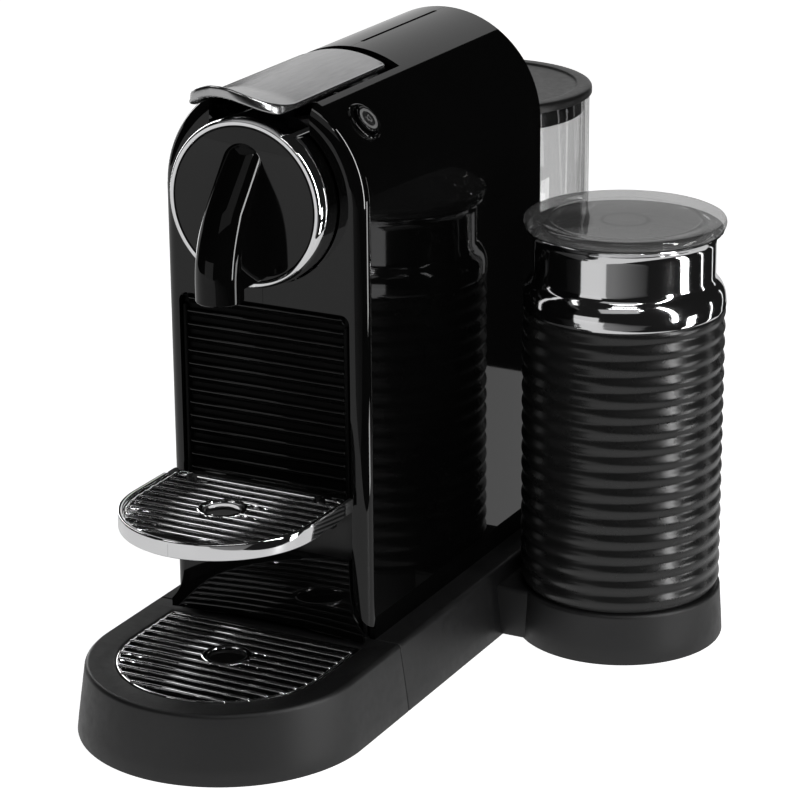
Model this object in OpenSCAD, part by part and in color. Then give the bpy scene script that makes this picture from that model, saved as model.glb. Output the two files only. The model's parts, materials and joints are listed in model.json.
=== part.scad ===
// Capsule coffee machine with a milk frother on its right side.
// Machine frame used inside the modules: x = 0 on the machine's centre plane,
// y = 0 just behind the front panel with +y to the back, z = 0 on the table.
// place() moves everything so that the middle of the whole footprint is the origin.

/* [Base] */
// Half width of the base at the table
base_r = 66.06; // [64:0.1:68]
// Half width of the base at its deck
deck_r = 61.6; // [60:0.1:62]
// Height of the deck
deck_z = 31.5; // [31:0.1:32]
// Centre of the round front end
front_yc = -39.5; // [-41:0.5:-38]
// Centre of the round rear end
rear_yc = 200.5; // [199:0.5:202]
// Seam between the drip tray unit and the rear base
base_seam = 4.6; // [4:0.1:5]

/* [Body] */
// Half width of the body, also the radius of its arched top
body_r = 49.2; // [49:0.1:49.5]
// Height of the centre of the arch
arch_z = 227.8; // [227:0.1:229]
// Front panel
body_y0 = -2.2; // [-2.4:0.1:-2]
// Rear edge of the side shells
body_y1 = 173; // [172:0.5:173.5]
// Rounding of the front edge
body_fillet = 7; // [6:0.5:8]
// Wall of the plastic shells
wall = 2.5; // [2:0.1:3]
// Half width of the opening under the lever
slot_hw = 24.3; // [24:0.1:25]
// Rear end of the opening under the lever
slot_y1 = 79.5; // [79:0.5:81]

/* [Brew unit] */
// Outer radius of the chrome ring
ring_r = 37.5; // [36:0.1:38]
// Radius of the round black face
face_r = 33.7; // [33:0.1:34]
// Front of the round black face
face_y = -16.6; // [-18:0.1:-15]
// Half width of the coffee spout
spout_r = 10.9; // [10:0.1:11.5]
// Stroke of the capsule piston
piston_stroke = 18; // [15:1:18]

/* [Lever] */
// Half width of the lever
lever_hw = 21.6; // [20:0.1:22]
// Where the rounded front of the lip starts, distance from the front (behind is positive)
lip_y = -17; // [-18:0.5:-14]
// Pivot, distance from the front
lever_y = 62; // [61:0.5:62.5]
// Pivot, height
lever_z = 260; // [259:0.5:261]

/* [Grille and trays] */
// Number of slats in the capsule container front
slats = 14; // [10:1:14]
// Pitch of the slats
slat_pitch = 6; // [5.5:0.1:6]
// Radius of the cup tray
tray_r = 44.8; // [43:0.1:45.5]
// Top of the cup tray band
tray_z1 = 101.1; // [100:0.1:102]
// Height of the cup tray band
tray_h = 7.5; // [6:0.5:8]
// Radius of the drip grid
grid_r = 47.6; // [46:0.1:48]
// Centre of the drip grid's round front
grid_yc = -40.3; // [-41:0.1:-40]
// Pitch of the grid ribs
rib_pitch = 6.2; // [5.5:0.1:7]

/* [Water tank] */
// Radius of the tank
tank_r = 52.5; // [51:0.1:53]
// Centre of the tank's round wall
tank_yc = 208; // [207.5:0.1:208.5]
// Top rim of the tank
tank_z1 = 226; // [220:1:228]
// Tank wall
tank_wall = 2; // [1.5:0.1:2.5]

/* [Milk frother] */
// Frother axis, distance right of the machine's centre
jug_x = 109.4; // [108:0.1:110]
// Frother axis, distance from the front
jug_y = 134.4; // [134:0.1:135]
// Radius of the frother base at the table
frother_r = 48.1; // [47.5:0.1:48.5]
// Radius of the jug's ribs
jug_r = 46.2; // [45.5:0.1:46.5]
// Number of ribs round the sleeve
jug_ribs = 18; // [12:1:18]
// Pitch of the ribs
jug_pitch = 7.44; // [7:0.01:7.5]

/* [Hidden] */
$fn = 64;

x_mid = (jug_x + frother_r - rb(1)) / 2;
y_mid = (front_yc + rear_yc) / 2;
tray_yc = -40.1;
tray_z0 = tray_z1 - tray_h;
tray_pin_y = -9;
tray_pin_z = 95.6;
tray_y1 = -5.5;
hole_y = -40.2;
gap = 0.4;
button_y = 22;
button_a = 49.6;
jug_z0 = 24.5;
rocker_y = 72;
rocker_z = 196;
brew_z = 228.5;
tank_y0 = 174.6;

function rb(z) = base_r - (base_r - deck_r) * z / deck_z;

module place() { translate([-x_mid, -y_mid, 0]) children(); }
module block(x0, x1, y0, y1, z0, z1) { translate([x0, y0, z0]) cube([x1 - x0, y1 - y0, z1 - z0]); }
module rod_x(r, x0, x1, y, z) { translate([x0, y, z]) rotate([0, 90, 0]) cylinder(r = r, h = x1 - x0); }
module rod_y(r, y0, y1, x, z) { translate([x, y0, z]) rotate([-90, 0, 0]) cylinder(r = r, h = y1 - y0); }
module rod_z(r, z0, z1, x, y) { translate([x, y, z0]) cylinder(r = r, h = z1 - z0); }
// A turned piece about the frother axis
module at_jug() { translate([jug_x, jug_y, 0]) children(); }
// Along the arch's normal at an angle from the top, positive to the right
module radial(a, y) { translate([0, y, arch_z]) rotate([0, a, 0]) children(); }

// Half cone to the front of yc with a prism behind it, for the drafted base
module half_cone(r0, r1, z0, z1, yc, y1) {
  difference() {
    translate([0, yc, z0]) cylinder(r1 = r0, r2 = r1, h = z1 - z0);
    block(-80, 80, yc, yc + 80, z0 - 1, z1 + 1);
  }
  translate([0, y1, 0]) rotate([90, 0, 0]) linear_extrude(y1 - yc)
    polygon([[-r0, z0], [r0, z0], [r1, z1], [-r1, z1]]);
}
module rear_cone(r0, r1, z0, z1, yc, y0) { mirror([0, 1, 0]) half_cone(r0, r1, z0, z1, -yc, -y0); }
// Half disc to the front of yc with a straight part behind it
module d_form(r, z0, z1, yc, y1) {
  difference() {
    rod_z(r, z0, z1, 0, yc);
    block(-80, 80, yc, yc + 80, z0 - 1, z1 + 1);
  }
  block(-r, r, yc, y1, z0, z1);
}
module base_outer_rear() {
  rear_cone(rb(1), rb(deck_z - 1.2), 1, deck_z - 1.2, rear_yc, base_seam);
  rear_cone(rb(deck_z - 1.2), deck_r - 1.1, deck_z - 1.2, deck_z, rear_yc, base_seam);
}
// D-shaped prism with a flat front, for the tank
module tank_form(r, y0, z0, z1) {
  intersection() {
    rod_z(r, z0, z1, 0, tank_yc);
    block(-80, 80, y0, tank_yc + 80, z0 - 1, z1 + 1);
  }
}

// Arched body with rounded front edges
module body_form(r, y0, y1, f, zb) {
  translate([0, 0, arch_z]) rotate([90, 0, 0]) rotate_extrude(angle = 180)
    body_profile(r, y0, y1, f);
  translate([0, 0, zb]) linear_extrude(arch_z - zb) union() {
    translate([-r, y0 + f]) square([2 * r, y1 - y0 - f]);
    translate([-r + f, y0]) square([2 * r - 2 * f, f]);
    for (s = [-1, 1]) translate([s * (r - f), y0 + f]) circle(r = f);
  }
}
module body_profile(r, y0, y1, f) {
  translate([0, -y1]) square([r, y1 - y0 - f]);
  translate([0, -y0 - f]) square([r - f, f]);
  translate([r - f, -y0 - f]) circle(r = f);
}
module body_shell() {
  difference() {
    body_form(body_r, body_y0, body_y1, body_fillet, deck_z);
    body_form(body_r - wall, body_y0 + wall, body_y1 + 5, body_fillet - wall, deck_z - 5);
    // opening under the lever
    block(-slot_hw, slot_hw, -20, slot_y1, 255, 300);
    // round opening for the brew unit
    rod_y(ring_r + 0.5, -20, 8, 0, brew_z);
    // opening for the capsule container
    block(-42, 42, -20, 4.6, 20, 177);
    block(-38, 38, -20, 4.6, 176, 181);
    for (s = [-1, 1]) rod_y(4, -20, 4.6, s * 38, 177);
    // the lower ends of the side strips curve away to the sides
    translate([0, 4.6, 0]) rotate([90, 0, 0]) linear_extrude(24)
      polygon([[-60, 20], [60, 20], [60, 37.6], [49.3, 38], [46.8, 40], [44.2, 44.5], [42.6, 51], [41.9, 58],
        [-41.9, 58], [-42.6, 51], [-44.2, 44.5], [-46.8, 40], [-49.3, 38], [-60, 37.6]]);
    // bores of the two buttons
    for (s = [-1, 1]) radial(s * button_a, button_y) cylinder(r = 6.7, h = 80);
    // joint line along the top of the body
    block(-0.8, 0.8, 90, 163, arch_z + body_r - 1.6, 300);
  }
}

module rear_base() color([0.06, 0.06, 0.065]) place() {
  difference() {
    base_outer_rear();
    rear_cone(rb(1) - wall, deck_r - wall, 0, deck_z - 2.8, rear_yc, base_seam + wall);
    // seat of the tank socket
    rod_z(12.1, 21, 40, 0, tank_yc);
    // passage of the water tube
    rod_z(4.2, 10, 40, -24, 148);
    rod_y(5.5, 235, 275, -25, 15);
  }
}
module bottom_plates() color([0.1, 0.1, 0.1]) place() {
  difference() {
    rear_cone(rb(1) - wall - 0.4, rb(3) - wall - 0.4, 1.2, 3.2, rear_yc, base_seam + wall + 0.3);
    rod_z(12.3, 0, 5, 0, tank_yc);
  }
  difference() {
    at_jug() rod_z(frother_r - 3.2, 1.2, 3.2, 0, 0);
    block(40, 68, jug_y - 60, jug_y + 60, 0, 5);
  }
}
module rubber_feet() color([0.03, 0.03, 0.03]) place() {
  for (p = [[-48, 22], [48, 22], [-42, 225], [42, 225]]) rod_z(8, 0, 1.2, p[0], p[1]);
  at_jug() for (a = [-60, 60, 180]) rotate([0, 0, a]) rod_z(6, 0, 1.2, 36, 0);
}
// Gland of the mains cord in the rear wall of the base
module cord_inlet() color([0.05, 0.05, 0.05]) place() {
  difference() {
    union() {
      rod_y(5.5, 247, 259, -25, 15);
      rod_y(7.5, 243.5, 247, -25, 15);
    }
    rod_y(3.4, 240, 262, -25, 15);
  }
}
module tank_dock() color([0.04, 0.04, 0.04]) place() {
  difference() {
    tank_form(50, 177, deck_z, deck_z + 1.2);
    rod_z(7.6, 30, 40, 0, tank_yc);
  }
}
// Cup in the deck that takes the tank's valve and feeds the pump
module tank_socket() color([0.1, 0.1, 0.1]) place() {
  difference() {
    union() {
      rod_z(12, 12, deck_z, 0, tank_yc);
      rod_z(14.5, 24.5, deck_z - 3, 0, tank_yc);
    }
    rod_z(7.6, 21, 40, 0, tank_yc);
    rod_y(2.7, 190, 201, -24, 18);
  }
}
module shell_left() color([0.02, 0.02, 0.02]) place() {
  intersection() { body_shell(); block(-60, -0.05, -30, 200, 0, 300); }
}
module shell_right() color([0.02, 0.02, 0.02]) place() {
  intersection() { body_shell(); block(0.05, 60, -30, 200, 0, 300); }
}
module back_cover() color([0.03, 0.03, 0.03]) place() {
  difference() {
    union() {
      intersection() { rod_y(body_r - wall - 0.1, 170.4, body_y1, 0, arch_z); block(-80, 80, 160, 180, arch_z, 300); }
      block(-body_r + wall + 0.1, body_r - wall - 0.1, 170.4, body_y1, deck_z + 0.1, arch_z);
    }
    for (i = [0:7]) block(-22, 22, 165, 180, 236 + 3.6 * i, 237.8 + 3.6 * i);
    for (p = [[-38, 45], [38, 45], [-38, 215], [38, 215]]) rod_y(1.6, 165, 180, p[0], p[1]);
  }
}

module frame_side(s) {
  difference() {
    if (s > 0) block(42.4, 44.6, 6, 166, deck_z, 222); else block(-44.6, -42.4, 6, 166, deck_z, 222);
    for (i = [0:2]) rod_x(5, -60, 60, 140, 70 + 55 * i);
  }
}
module frame_side_left() color([0.35, 0.35, 0.36]) place() frame_side(-1);
module frame_side_right() color([0.35, 0.35, 0.36]) place() frame_side(1);
module frame_bulkhead() color([0.35, 0.35, 0.36]) place() {
  difference() {
    block(-42.4, 42.4, 122, 124.5, deck_z, 240);
    rod_y(3.6, 110, 130, 20.5, 209.3);
  }
}
module frame_deck() color([0.35, 0.35, 0.36]) place() {
  difference() {
    union() {
      block(-42.4, 42.4, 6, 122, 185.2, 188);
      for (s = [-1, 1]) {
        block(s * 7.5 - 2, s * 7.5 + 2, rocker_y - 5, rocker_y + 5, 188, rocker_z);
        rod_x(5, s * 7.5 - 2, s * 7.5 + 2, rocker_y, rocker_z);
      }
    }
    block(-20, 20, 9, 33, 180, 190);
    rod_x(2, -20, 20, rocker_y, rocker_z);
  }
}
// Plate under the lever with the slot that takes the capsule
module top_insert() color([0.04, 0.04, 0.04]) place() {
  difference() {
    union() {
      block(-23.8, 23.8, 6, 56, 257.6, 260);
      block(-21, 21, 8.3, 33.6, 250.5, 257.6);
      for (s = [-1, 1]) block(s * 27 - 9, s * 27 + 9, 40, 52, 253.4, 255.4);
      block(-23.8, 23.8, 48, 52, 253.4, 257.6);
    }
    block(-19.4, 19.4, 9, 32, 240, 270);
  }
}

module brew_ring() color([0.8, 0.8, 0.82]) place() translate([0, 0, brew_z]) rotate([90, 0, 0])
  rotate_extrude($fn = 96) union() {
    polygon([[face_r + 0.2, -4], [face_r + 0.2, -face_y - 0.9], [face_r + 0.7, -face_y], [face_r + 1.3, -face_y + 0.25], [face_r + 1.9, -face_y - 0.1],
      [face_r + 2.4, -face_y - 0.9], [ring_r - 0.5, -face_y - 2.8], [ring_r, -face_y - 4.2], [ring_r, -4]]);
  }
module brew_face() color([0.03, 0.03, 0.03]) place() {
  rod_y(face_r, face_y, face_y + 4.4, 0, brew_z);
}
// Coffee spout: a slab with a round nose that sweeps from the face down to the nozzle
module spout() color([0.02, 0.02, 0.02]) place() {
  sw = 39.1;
  yc = 1.4;
  zc = 200;
  hw = spout_r - 0.35;
  difference() {
    union() {
      // nozzle
      rod_z(spout_r, 192, zc, 0, yc - sw);
      // nose, bent through 40 degrees
      translate([0, yc, zc]) rotate([0, 0, -90]) rotate([90, 0, 0]) rotate_extrude(angle = 40) translate([sw, 0]) circle(r = spout_r);
      // nose, straight part up to the face
      translate([0, yc - sw * cos(40), zc + sw * sin(40)]) rotate([-40, 0, 0]) { cylinder(r = spout_r, h = 26.5); translate([0, 0, 26.5]) sphere(r = spout_r - 0.05); }
      // the slab between nose and face
      translate([-hw, 0, 0]) rotate([90, 0, 90]) linear_extrude(2 * hw)
        polygon(concat([[face_y, 197.5], [yc - sw, 197.5], [yc - sw, zc]],
          [for (a = [5:5:40]) [yc - sw * cos(a), zc + sw * sin(a)]],
          [[face_y, zc + sw * sin(40) + (face_y - yc + sw * cos(40)) * cos(40) / sin(40)]]));
    }
    block(-40, 40, face_y, face_y + 80, 150, 300);
    // outlet bore
    rod_z(4.5, 180, 206, 0, yc - sw);
    translate([0, yc - sw, 191.9]) cylinder(r1 = 8.6, r2 = 6.6, h = 4.5);
  }
}
module brew_head() color([0.25, 0.25, 0.26]) place() {
  difference() {
    union() {
      rod_y(30, face_y + 4.4, 2, 0, brew_z);
      rod_y(face_r + 0.2, -1, 2, 0, brew_z);
      rod_y(25, 2, 8, 0, brew_z);
      block(-14, 14, 4.4, 8.8, 188, 205.5);
    }
    // conical seat of the capsule
    translate([0, 3, brew_z]) rotate([-90, 0, 0]) cylinder(r1 = 14, r2 = 18.6, h = 5.01);
  }
}
module piston_guide() color([0.3, 0.3, 0.31]) place() {
  difference() {
    union() {
      rod_y(24.5, 35, 47, 0, brew_z);
      block(-10, 10, 35, 47, 188, 208);
    }
    rod_y(20.5, 30, 50, 0, brew_z);
  }
}
module lever_bracket() color([0.3, 0.3, 0.31]) place() {
  difference() {
    union() {
      for (s = [-1, 1]) {
        rod_x(4.2, s * 23.4 - 1.3, s * 23.4 + 1.3, lever_y, lever_z);
        block(s * 23.4 - 1.3, s * 23.4 + 1.3, lever_y - 4.2, lever_y + 4.2, 222, lever_z);
      }
      block(-44.6, -22.1, lever_y - 4.2, lever_y + 4.2, 222, 225);
      block(22.1, 44.6, lever_y - 4.2, lever_y + 4.2, 222, 225);
    }
    rod_x(2, -40, 40, lever_y, lever_z);
  }
}

module pump() color([0.55, 0.5, 0.35]) place() {
  difference() {
    union() {
      rod_z(8, 46, 124, -24, 148);
      block(-41, -7, 131, 165, 64, 106);
    }
    rod_z(2, 40, 60, -24, 148);
    rod_z(2, 110, 130, -24, 148);
  }
}
module pump_mounts() color([0.05, 0.05, 0.05]) place() {
  for (z = [50, 114]) difference() {
    rod_z(14, z, z + 6, -24, 148);
    rod_z(8, z - 1, z + 7, -24, 148);
  }
}
module flow_meter() color([0.85, 0.85, 0.85]) place() {
  rod_z(14, 40, 52, 22, 148);
  rod_z(4, 52, 60, 22, 148);
}
module thermoblock() color([0.65, 0.66, 0.67]) place() {
  difference() {
    union() {
      rod_z(19.5, 138, 182, 0, 147);
      rod_z(6, 182, 188, -8, 147);
      rod_z(4.6, 182, 186, 12, 147);
    }
    rod_z(12, 137, 150, 0, 147);
  }
}
module control_board() color([0.05, 0.3, 0.12]) place() {
  block(-32, 32, 150, 151.6, 192, 236);
  block(-26, -8, 140, 150, 200, 214);
  block(2, 22, 143, 150, 216, 230);
  rod_y(5, 138, 150, -20, 226);
}
module button_switches() color([0.1, 0.1, 0.1]) place() {
  for (s = [-1, 1]) radial(s * button_a, button_y) {
    translate([0, 0, 38]) cylinder(r = 3, h = 4.4);
    translate([-6, -6, 34]) cube([12, 12, 4]);
  }
}
// Water tubes: dock to pump, pump to thermoblock, thermoblock to brew head
module water_tubes() color([0.85, 0.85, 0.8]) place() {
  rod_y(2.6, 148, 196, -24, 18);
  translate([-24, 148, 18]) sphere(r = 2.6);
  rod_z(2.6, 18, 46, -24, 148);
  rod_z(2.6, 124, 160, -24, 148);
  translate([-24, 148, 160]) sphere(r = 2.6);
  rod_x(2.6, -24, -19.5, 148, 160);
  rod_z(2.6, 186, 195, 12, 147);
  translate([12, 147, 195]) sphere(r = 2.6);
  rod_x(2.6, 12, 20.5, 147, 195);
  translate([20.5, 147, 195]) sphere(r = 2.6);
  rod_z(2.6, 195, 209.3, 20.5, 147);
  translate([20.5, 147, 209.3]) sphere(r = 2.6);
  rod_y(2.6, 2, 147, 20.5, 209.3);
}
module case_screws() color([0.6, 0.6, 0.62]) place() {
  for (p = [[-38, 45], [38, 45], [-38, 215], [38, 215]]) difference() {
    union() { rod_y(3, body_y1, body_y1 + 1.1, p[0], p[1]); rod_y(1.6, 168, body_y1, p[0], p[1]); }
    translate([p[0], body_y1 + 0.4, p[1]]) rotate([-90, 0, 0]) cylinder(r = 1.6, h = 2, $fn = 6);
  }
  for (p = [[-50, 40], [50, 40], [-50, 190], [50, 190]]) difference() {
    rod_z(3, 0.4, 1.2, p[0], p[1]);
    translate([p[0], p[1], 0.2]) cylinder(r = 1.6, h = 0.6, $fn = 6);
  }
}

module frother_base() color([0.06, 0.06, 0.065]) place() {
  difference() {
    union() {
      at_jug() {
        translate([0, 0, 1]) cylinder(r1 = frother_r, r2 = frother_r - 1.4, h = 22.2);
        translate([0, 0, 23.2]) cylinder(r1 = frother_r - 1.4, r2 = frother_r - 2.4, h = 1);
      }
      block(52, jug_x - 30, jug_y - 36, jug_y + 36, 1, 24.2);
    }
    base_outer_rear();
    at_jug() {
      rod_z(frother_r - 3, 0, 21.7, 0, 0);
      rod_z(14, 20, 30, 0, 0);
    }
    block(67.5, jug_x - 30, jug_y - 33.5, jug_y + 33.5, 0, 21.7);
  }
}
module jug_connector() color([0.08, 0.08, 0.08]) place() at_jug() {
  difference() {
    union() {
      rod_z(13.9, 18, 30, 0, 0);
      rod_z(18, 18, 21.6, 0, 0);
    }
    difference() { rod_z(10.5, 24, 31, 0, 0); rod_z(7, 23, 32, 0, 0); }
    rod_z(4, 24, 31, 0, 0);
  }
}

// Lever: arched plate over the top, with a lip that flares up at the front
module lever_plate() color([0.78, 0.79, 0.8]) place() {
  intersection() {
    union() {
      difference() { rod_y(body_r, -6, 73, 0, arch_z); rod_y(body_r - 2.6, -7, 74, 0, arch_z); }
      translate([0, 0, arch_z]) rotate([90, 0, 0]) rotate_extrude($fn = 96)
        polygon([[body_r - 2.6, 6], [body_r, 6], [body_r + 0.4, 11], [body_r + 1.1, 16], [body_r + 1.9, 21], [body_r + 2.6, 26], [body_r + 3.4, 30.5],
          [body_r + 4.8, 34], [body_r + 6.9, 37.2], [body_r + 4.8, 38.6], [body_r + 3, 37.6], [body_r + 1.1, 34.5], [body_r - 0.2, 30.5], [body_r - 1, 25], [body_r - 1.6, 19], [body_r - 2.2, 12]]);
    }
    translate([0, 0, 240]) linear_extrude(60)
      polygon(concat([[lever_hw, 80]], [for (a = [0:6:90]) [1.6 + (lever_hw - 1.6) * cos(a), lip_y - (lever_hw - 1.6) * sin(a)]],
        [for (a = [90:6:180]) [-1.6 + (lever_hw - 1.6) * cos(a), lip_y - (lever_hw - 1.6) * sin(a)]], [[-lever_hw, 80]]));
  }
}
module lever_arms() color([0.3, 0.3, 0.31]) place() {
  difference() {
    union() {
      for (s = [-1, 1]) {
        rod_x(4.6, s * 19.2 - 1.5, s * 19.2 + 1.5, lever_y, lever_z);
        block(s * 19.2 - 1.5, s * 19.2 + 1.5, lever_y - 4.6, lever_y + 4, lever_z, 270);
      }
      block(-20.7, 20.7, lever_y - 4.6, lever_y - 2.4, 264.6, 267.4);
    }
    rod_x(2.2, -40, 40, lever_y, lever_z);
    // stay under the plate
    difference() { rod_y(80, 40, 90, 0, arch_z); rod_y(body_r - 2.65, 30, 100, 0, arch_z); }
  }
}
// Pins of the lever and of the rocker
module hinge_pins() color([0.6, 0.6, 0.62]) place() {
  rod_x(2, -24.6, 24.6, lever_y, lever_z);
  rod_x(2, -9.5, 9.5, rocker_y, rocker_z);
}

module capsule_piston() color([0.2, 0.2, 0.21]) place() {
  difference() {
    union() {
      rod_y(20, 12, 42, 0, brew_z);
      for (s = [-1, 1]) block(s * 7.5 - 1.5, s * 7.5 + 1.5, 41, 69, 220.5, 236.5);
    }
    // cup that takes the back of the capsule
    translate([0, 11.9, brew_z]) rotate([-90, 0, 0]) cylinder(r1 = 15.5, r2 = 12, h = 22);
    // slot of the rocker pin
    for (s = [-1, 1]) {
      block(s * 7.5 - 3, s * 7.5 + 3, 59.6, 66.4, 223.5, 231.5);
    }
  }
}
// Rocker that draws the piston back when the lever opens
module piston_rocker() color([0.5, 0.5, 0.52]) place() {
  tip = [rocker_y - 9, rocker_z + 31];
  difference() {
    union() {
      rod_x(4.5, -4.6, 4.6, rocker_y, rocker_z);
      translate([-4, rocker_y, rocker_z]) rotate([asin(9 / norm([9, 31])), 0, 0]) translate([0, -3, 0]) cube([8, 6, norm([9, 31])]);
      rod_x(4, -4.6, 4.6, tip[0], tip[1]);
      rod_x(2.4, -9.5, 9.5, tip[0], tip[1]);
    }
    rod_x(2.2, -20, 20, rocker_y, rocker_z);
  }
}
module push_button(s) {
  radial(s * button_a, button_y) {
    difference() {
      union() {
        translate([0, 0, 44.2]) cylinder(r = 6.2, h = 8.1);
        translate([0, 0, 44.2]) cylinder(r = 7.4, h = 1.2);
      }
      // fine groove round the cap
      translate([0, 0, 51.9]) difference() { cylinder(r = 5.1, h = 1); translate([0, 0, -0.1]) cylinder(r = 4.7, h = 2); }
    }
  }
}
module espresso_button() color([0.75, 0.75, 0.77]) place() push_button(-1);
module lungo_button() color([0.75, 0.75, 0.77]) place() push_button(1);

module capsule_container() color([0.04, 0.04, 0.04]) place() {
  difference() {
    block(-40, 40, 2.2, 118, 34, 180);
    block(-38, 38, 4.4, 116, 36, 183);
  }
}
module grille_front() color([0.03, 0.03, 0.03]) place() {
  block(-40.6, 40.6, 0.4, 2.2, 96, 176.5);
  block(-37, 37, 0.4, 2.2, 176.5, 180.2);
  for (s = [-1, 1]) rod_y(3.7, 0.4, 2.2, s * 36.9, 176.5);
  for (i = [0:slats - 1]) translate([-38.6, 0, 178.8 - slat_pitch * i]) rotate([90, 0, 90]) linear_extrude(77.2)
    polygon([[0.4, 0.7], [-1.5, 0.3], [-1.9, -0.2], [-1.5, -0.7], [0.4, -3.4]]);
  for (s = [-1, 1]) block(s * 39.6 - 1, s * 39.6 + 1, -1.6, 0.4, 97, 174);
}
module splash_panel() color([0.02, 0.02, 0.02]) place() {
  translate([0, -3.2, 0]) rotate([90, 0, 0]) linear_extrude(3)
    polygon([[-48.6, 33.2], [48.6, 33.2], [48.6, 37.6], [46.2, 39.6], [43.6, 44.2], [42, 50.6], [41.2, 58], [41.2, 70.4],
      [-41.2, 70.4], [-41.2, 58], [-42, 50.6], [-43.6, 44.2], [-46.2, 39.6], [-48.6, 37.6]]);
  block(-40, 40, -3.2, 2.2, 34, 68);
}
module tray_bracket() color([0.03, 0.03, 0.03]) place() {
  difference() {
    union() {
      block(-41, 41, -1.6, 2.2, 68, 96);
      for (s = [-1, 1]) {
        block(s * 32 - 2.2, s * 32 + 2.2, tray_pin_y, -4, tray_pin_z - 3.1, tray_pin_z + 3.1);
        rod_x(3.1, s * 32 - 2.2, s * 32 + 2.2, tray_pin_y, tray_pin_z);
        block(s * 32 - 2.2, s * 32 + 2.2, -5, -1.6, 84, 95.9);
      }
    }
    rod_x(1.8, -40, 40, tray_pin_y, tray_pin_z);
  }
}
module ring_hole(z0, z1) { rod_z(8.6, z0, z1, 0, hole_y); }

module cup_tray_band() color([0.82, 0.82, 0.84]) place() {
  difference() {
    union() {
      d_form(tray_r, tray_z0, tray_z1, tray_yc, -16);
      // rounded ends of the band
      for (s = [-1, 1]) rod_x(tray_h / 2, s * (tray_r - 1.1) - 1.1, s * (tray_r - 1.1) + 1.1, -16, tray_z0 + tray_h / 2);
    }
    d_form(tray_r - 2.2, tray_z0 - 1, tray_z1 + 1, tray_yc, 0);
    // small mark at the middle of the front
    block(-0.6, 0.6, tray_yc - tray_r - 1, tray_yc - tray_r + 0.5, tray_z0 - 1, tray_z1 - 1);
  }
}
// Ribs across a tray, with a raised ring round the drip hole
module ribs(r, z0, z1, yc, y1, pitch, rw) {
  n = floor((y1 - yc + r - 3) / pitch);
  difference() {
    union() {
      difference() {
        d_form(r, z0, z1, yc, y1);
        d_form(r - 1.5, z0 - 1, z1 + 1, yc, y1 - 1.5);
      }
      intersection() {
        d_form(r - 0.7, z0, z1, yc, y1 - 0.7);
        union() for (i = [1:n]) block(-r, r, y1 - i * pitch - rw / 2, y1 - i * pitch + rw / 2, z0, z1 - 0.3);
      }
      rod_z(11, z0, z1, 0, hole_y);
    }
    rod_z(8.6, z0 - 1, z1 + 1, 0, hole_y);
  }
}
module cup_tray_grid() color([0.8, 0.8, 0.82]) place() {
  difference() {
    ribs(tray_r - 2.3, 97.2, tray_z1 - 0.5, tray_yc, tray_y1, rib_pitch, 1.7);
    for (s = [-1, 1]) block(s * 32 - 2.7, s * 32 + 2.7, tray_pin_y - 4.5, 0, 80, 110);
  }
}
module cup_tray_pan() color([0.03, 0.03, 0.03]) place() {
  difference() {
    union() {
      d_form(tray_r - 2.3, tray_z0 + 0.3, 96.2, tray_yc, tray_y1);
      block(-tray_r + 2.3, tray_r - 2.3, tray_pin_y - 3.4, tray_y1, tray_z0 + 0.3, 97.2);
      // side cheeks that carry the band's ends
      for (s = [-1, 1]) block(s * (tray_r - 1.1) - 1.1, s * (tray_r - 1.1) + 1.1, -12.2, tray_y1, tray_z0 + 0.8, tray_z1 - 0.8);
    }
    ring_hole(80, 110);
    for (s = [-1, 1]) block(s * 32 - 2.7, s * 32 + 2.7, tray_pin_y - 4.5, 0, 80, 110);
    rod_x(1.5, -38.1, 38.1, tray_pin_y, tray_pin_z);
  }
}
module cup_tray_pins() color([0.6, 0.6, 0.62]) place() {
  for (s = [-1, 1]) rod_x(1.5, s * 32 - 6, s * 32 + 6, tray_pin_y, tray_pin_z);
}

module drip_tray_cover() color([0.06, 0.06, 0.065]) place() {
  difference() {
    union() {
      half_cone(rb(1), rb(deck_z - 1.2), 1, deck_z - 1.2, front_yc, base_seam - gap);
      half_cone(rb(deck_z - 1.2), deck_r - 1.1, deck_z - 1.2, deck_z, front_yc, base_seam - gap);
    }
    half_cone(rb(1) - wall, deck_r - wall, 0, deck_z - 2.6, front_yc, base_seam - gap - wall);
    d_form(grid_r + 0.4, 10, 40, grid_yc, -6.5);
  }
}
module drip_tub() color([0.04, 0.04, 0.04]) place() {
  difference() {
    union() {
      d_form(grid_r + 0.3, 4, 28.8, grid_yc, -6.6);
      d_form(grid_r + 4, 26.6, 28.8, grid_yc, -3);
    }
    d_form(grid_r - 1.9, 6, 40, grid_yc, -8.8);
  }
}
module drip_grid() color([0.8, 0.8, 0.82]) place() {
  ribs(grid_r, 29.4, 32.4, grid_yc, -6.9, rib_pitch, 1.8);
}

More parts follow.
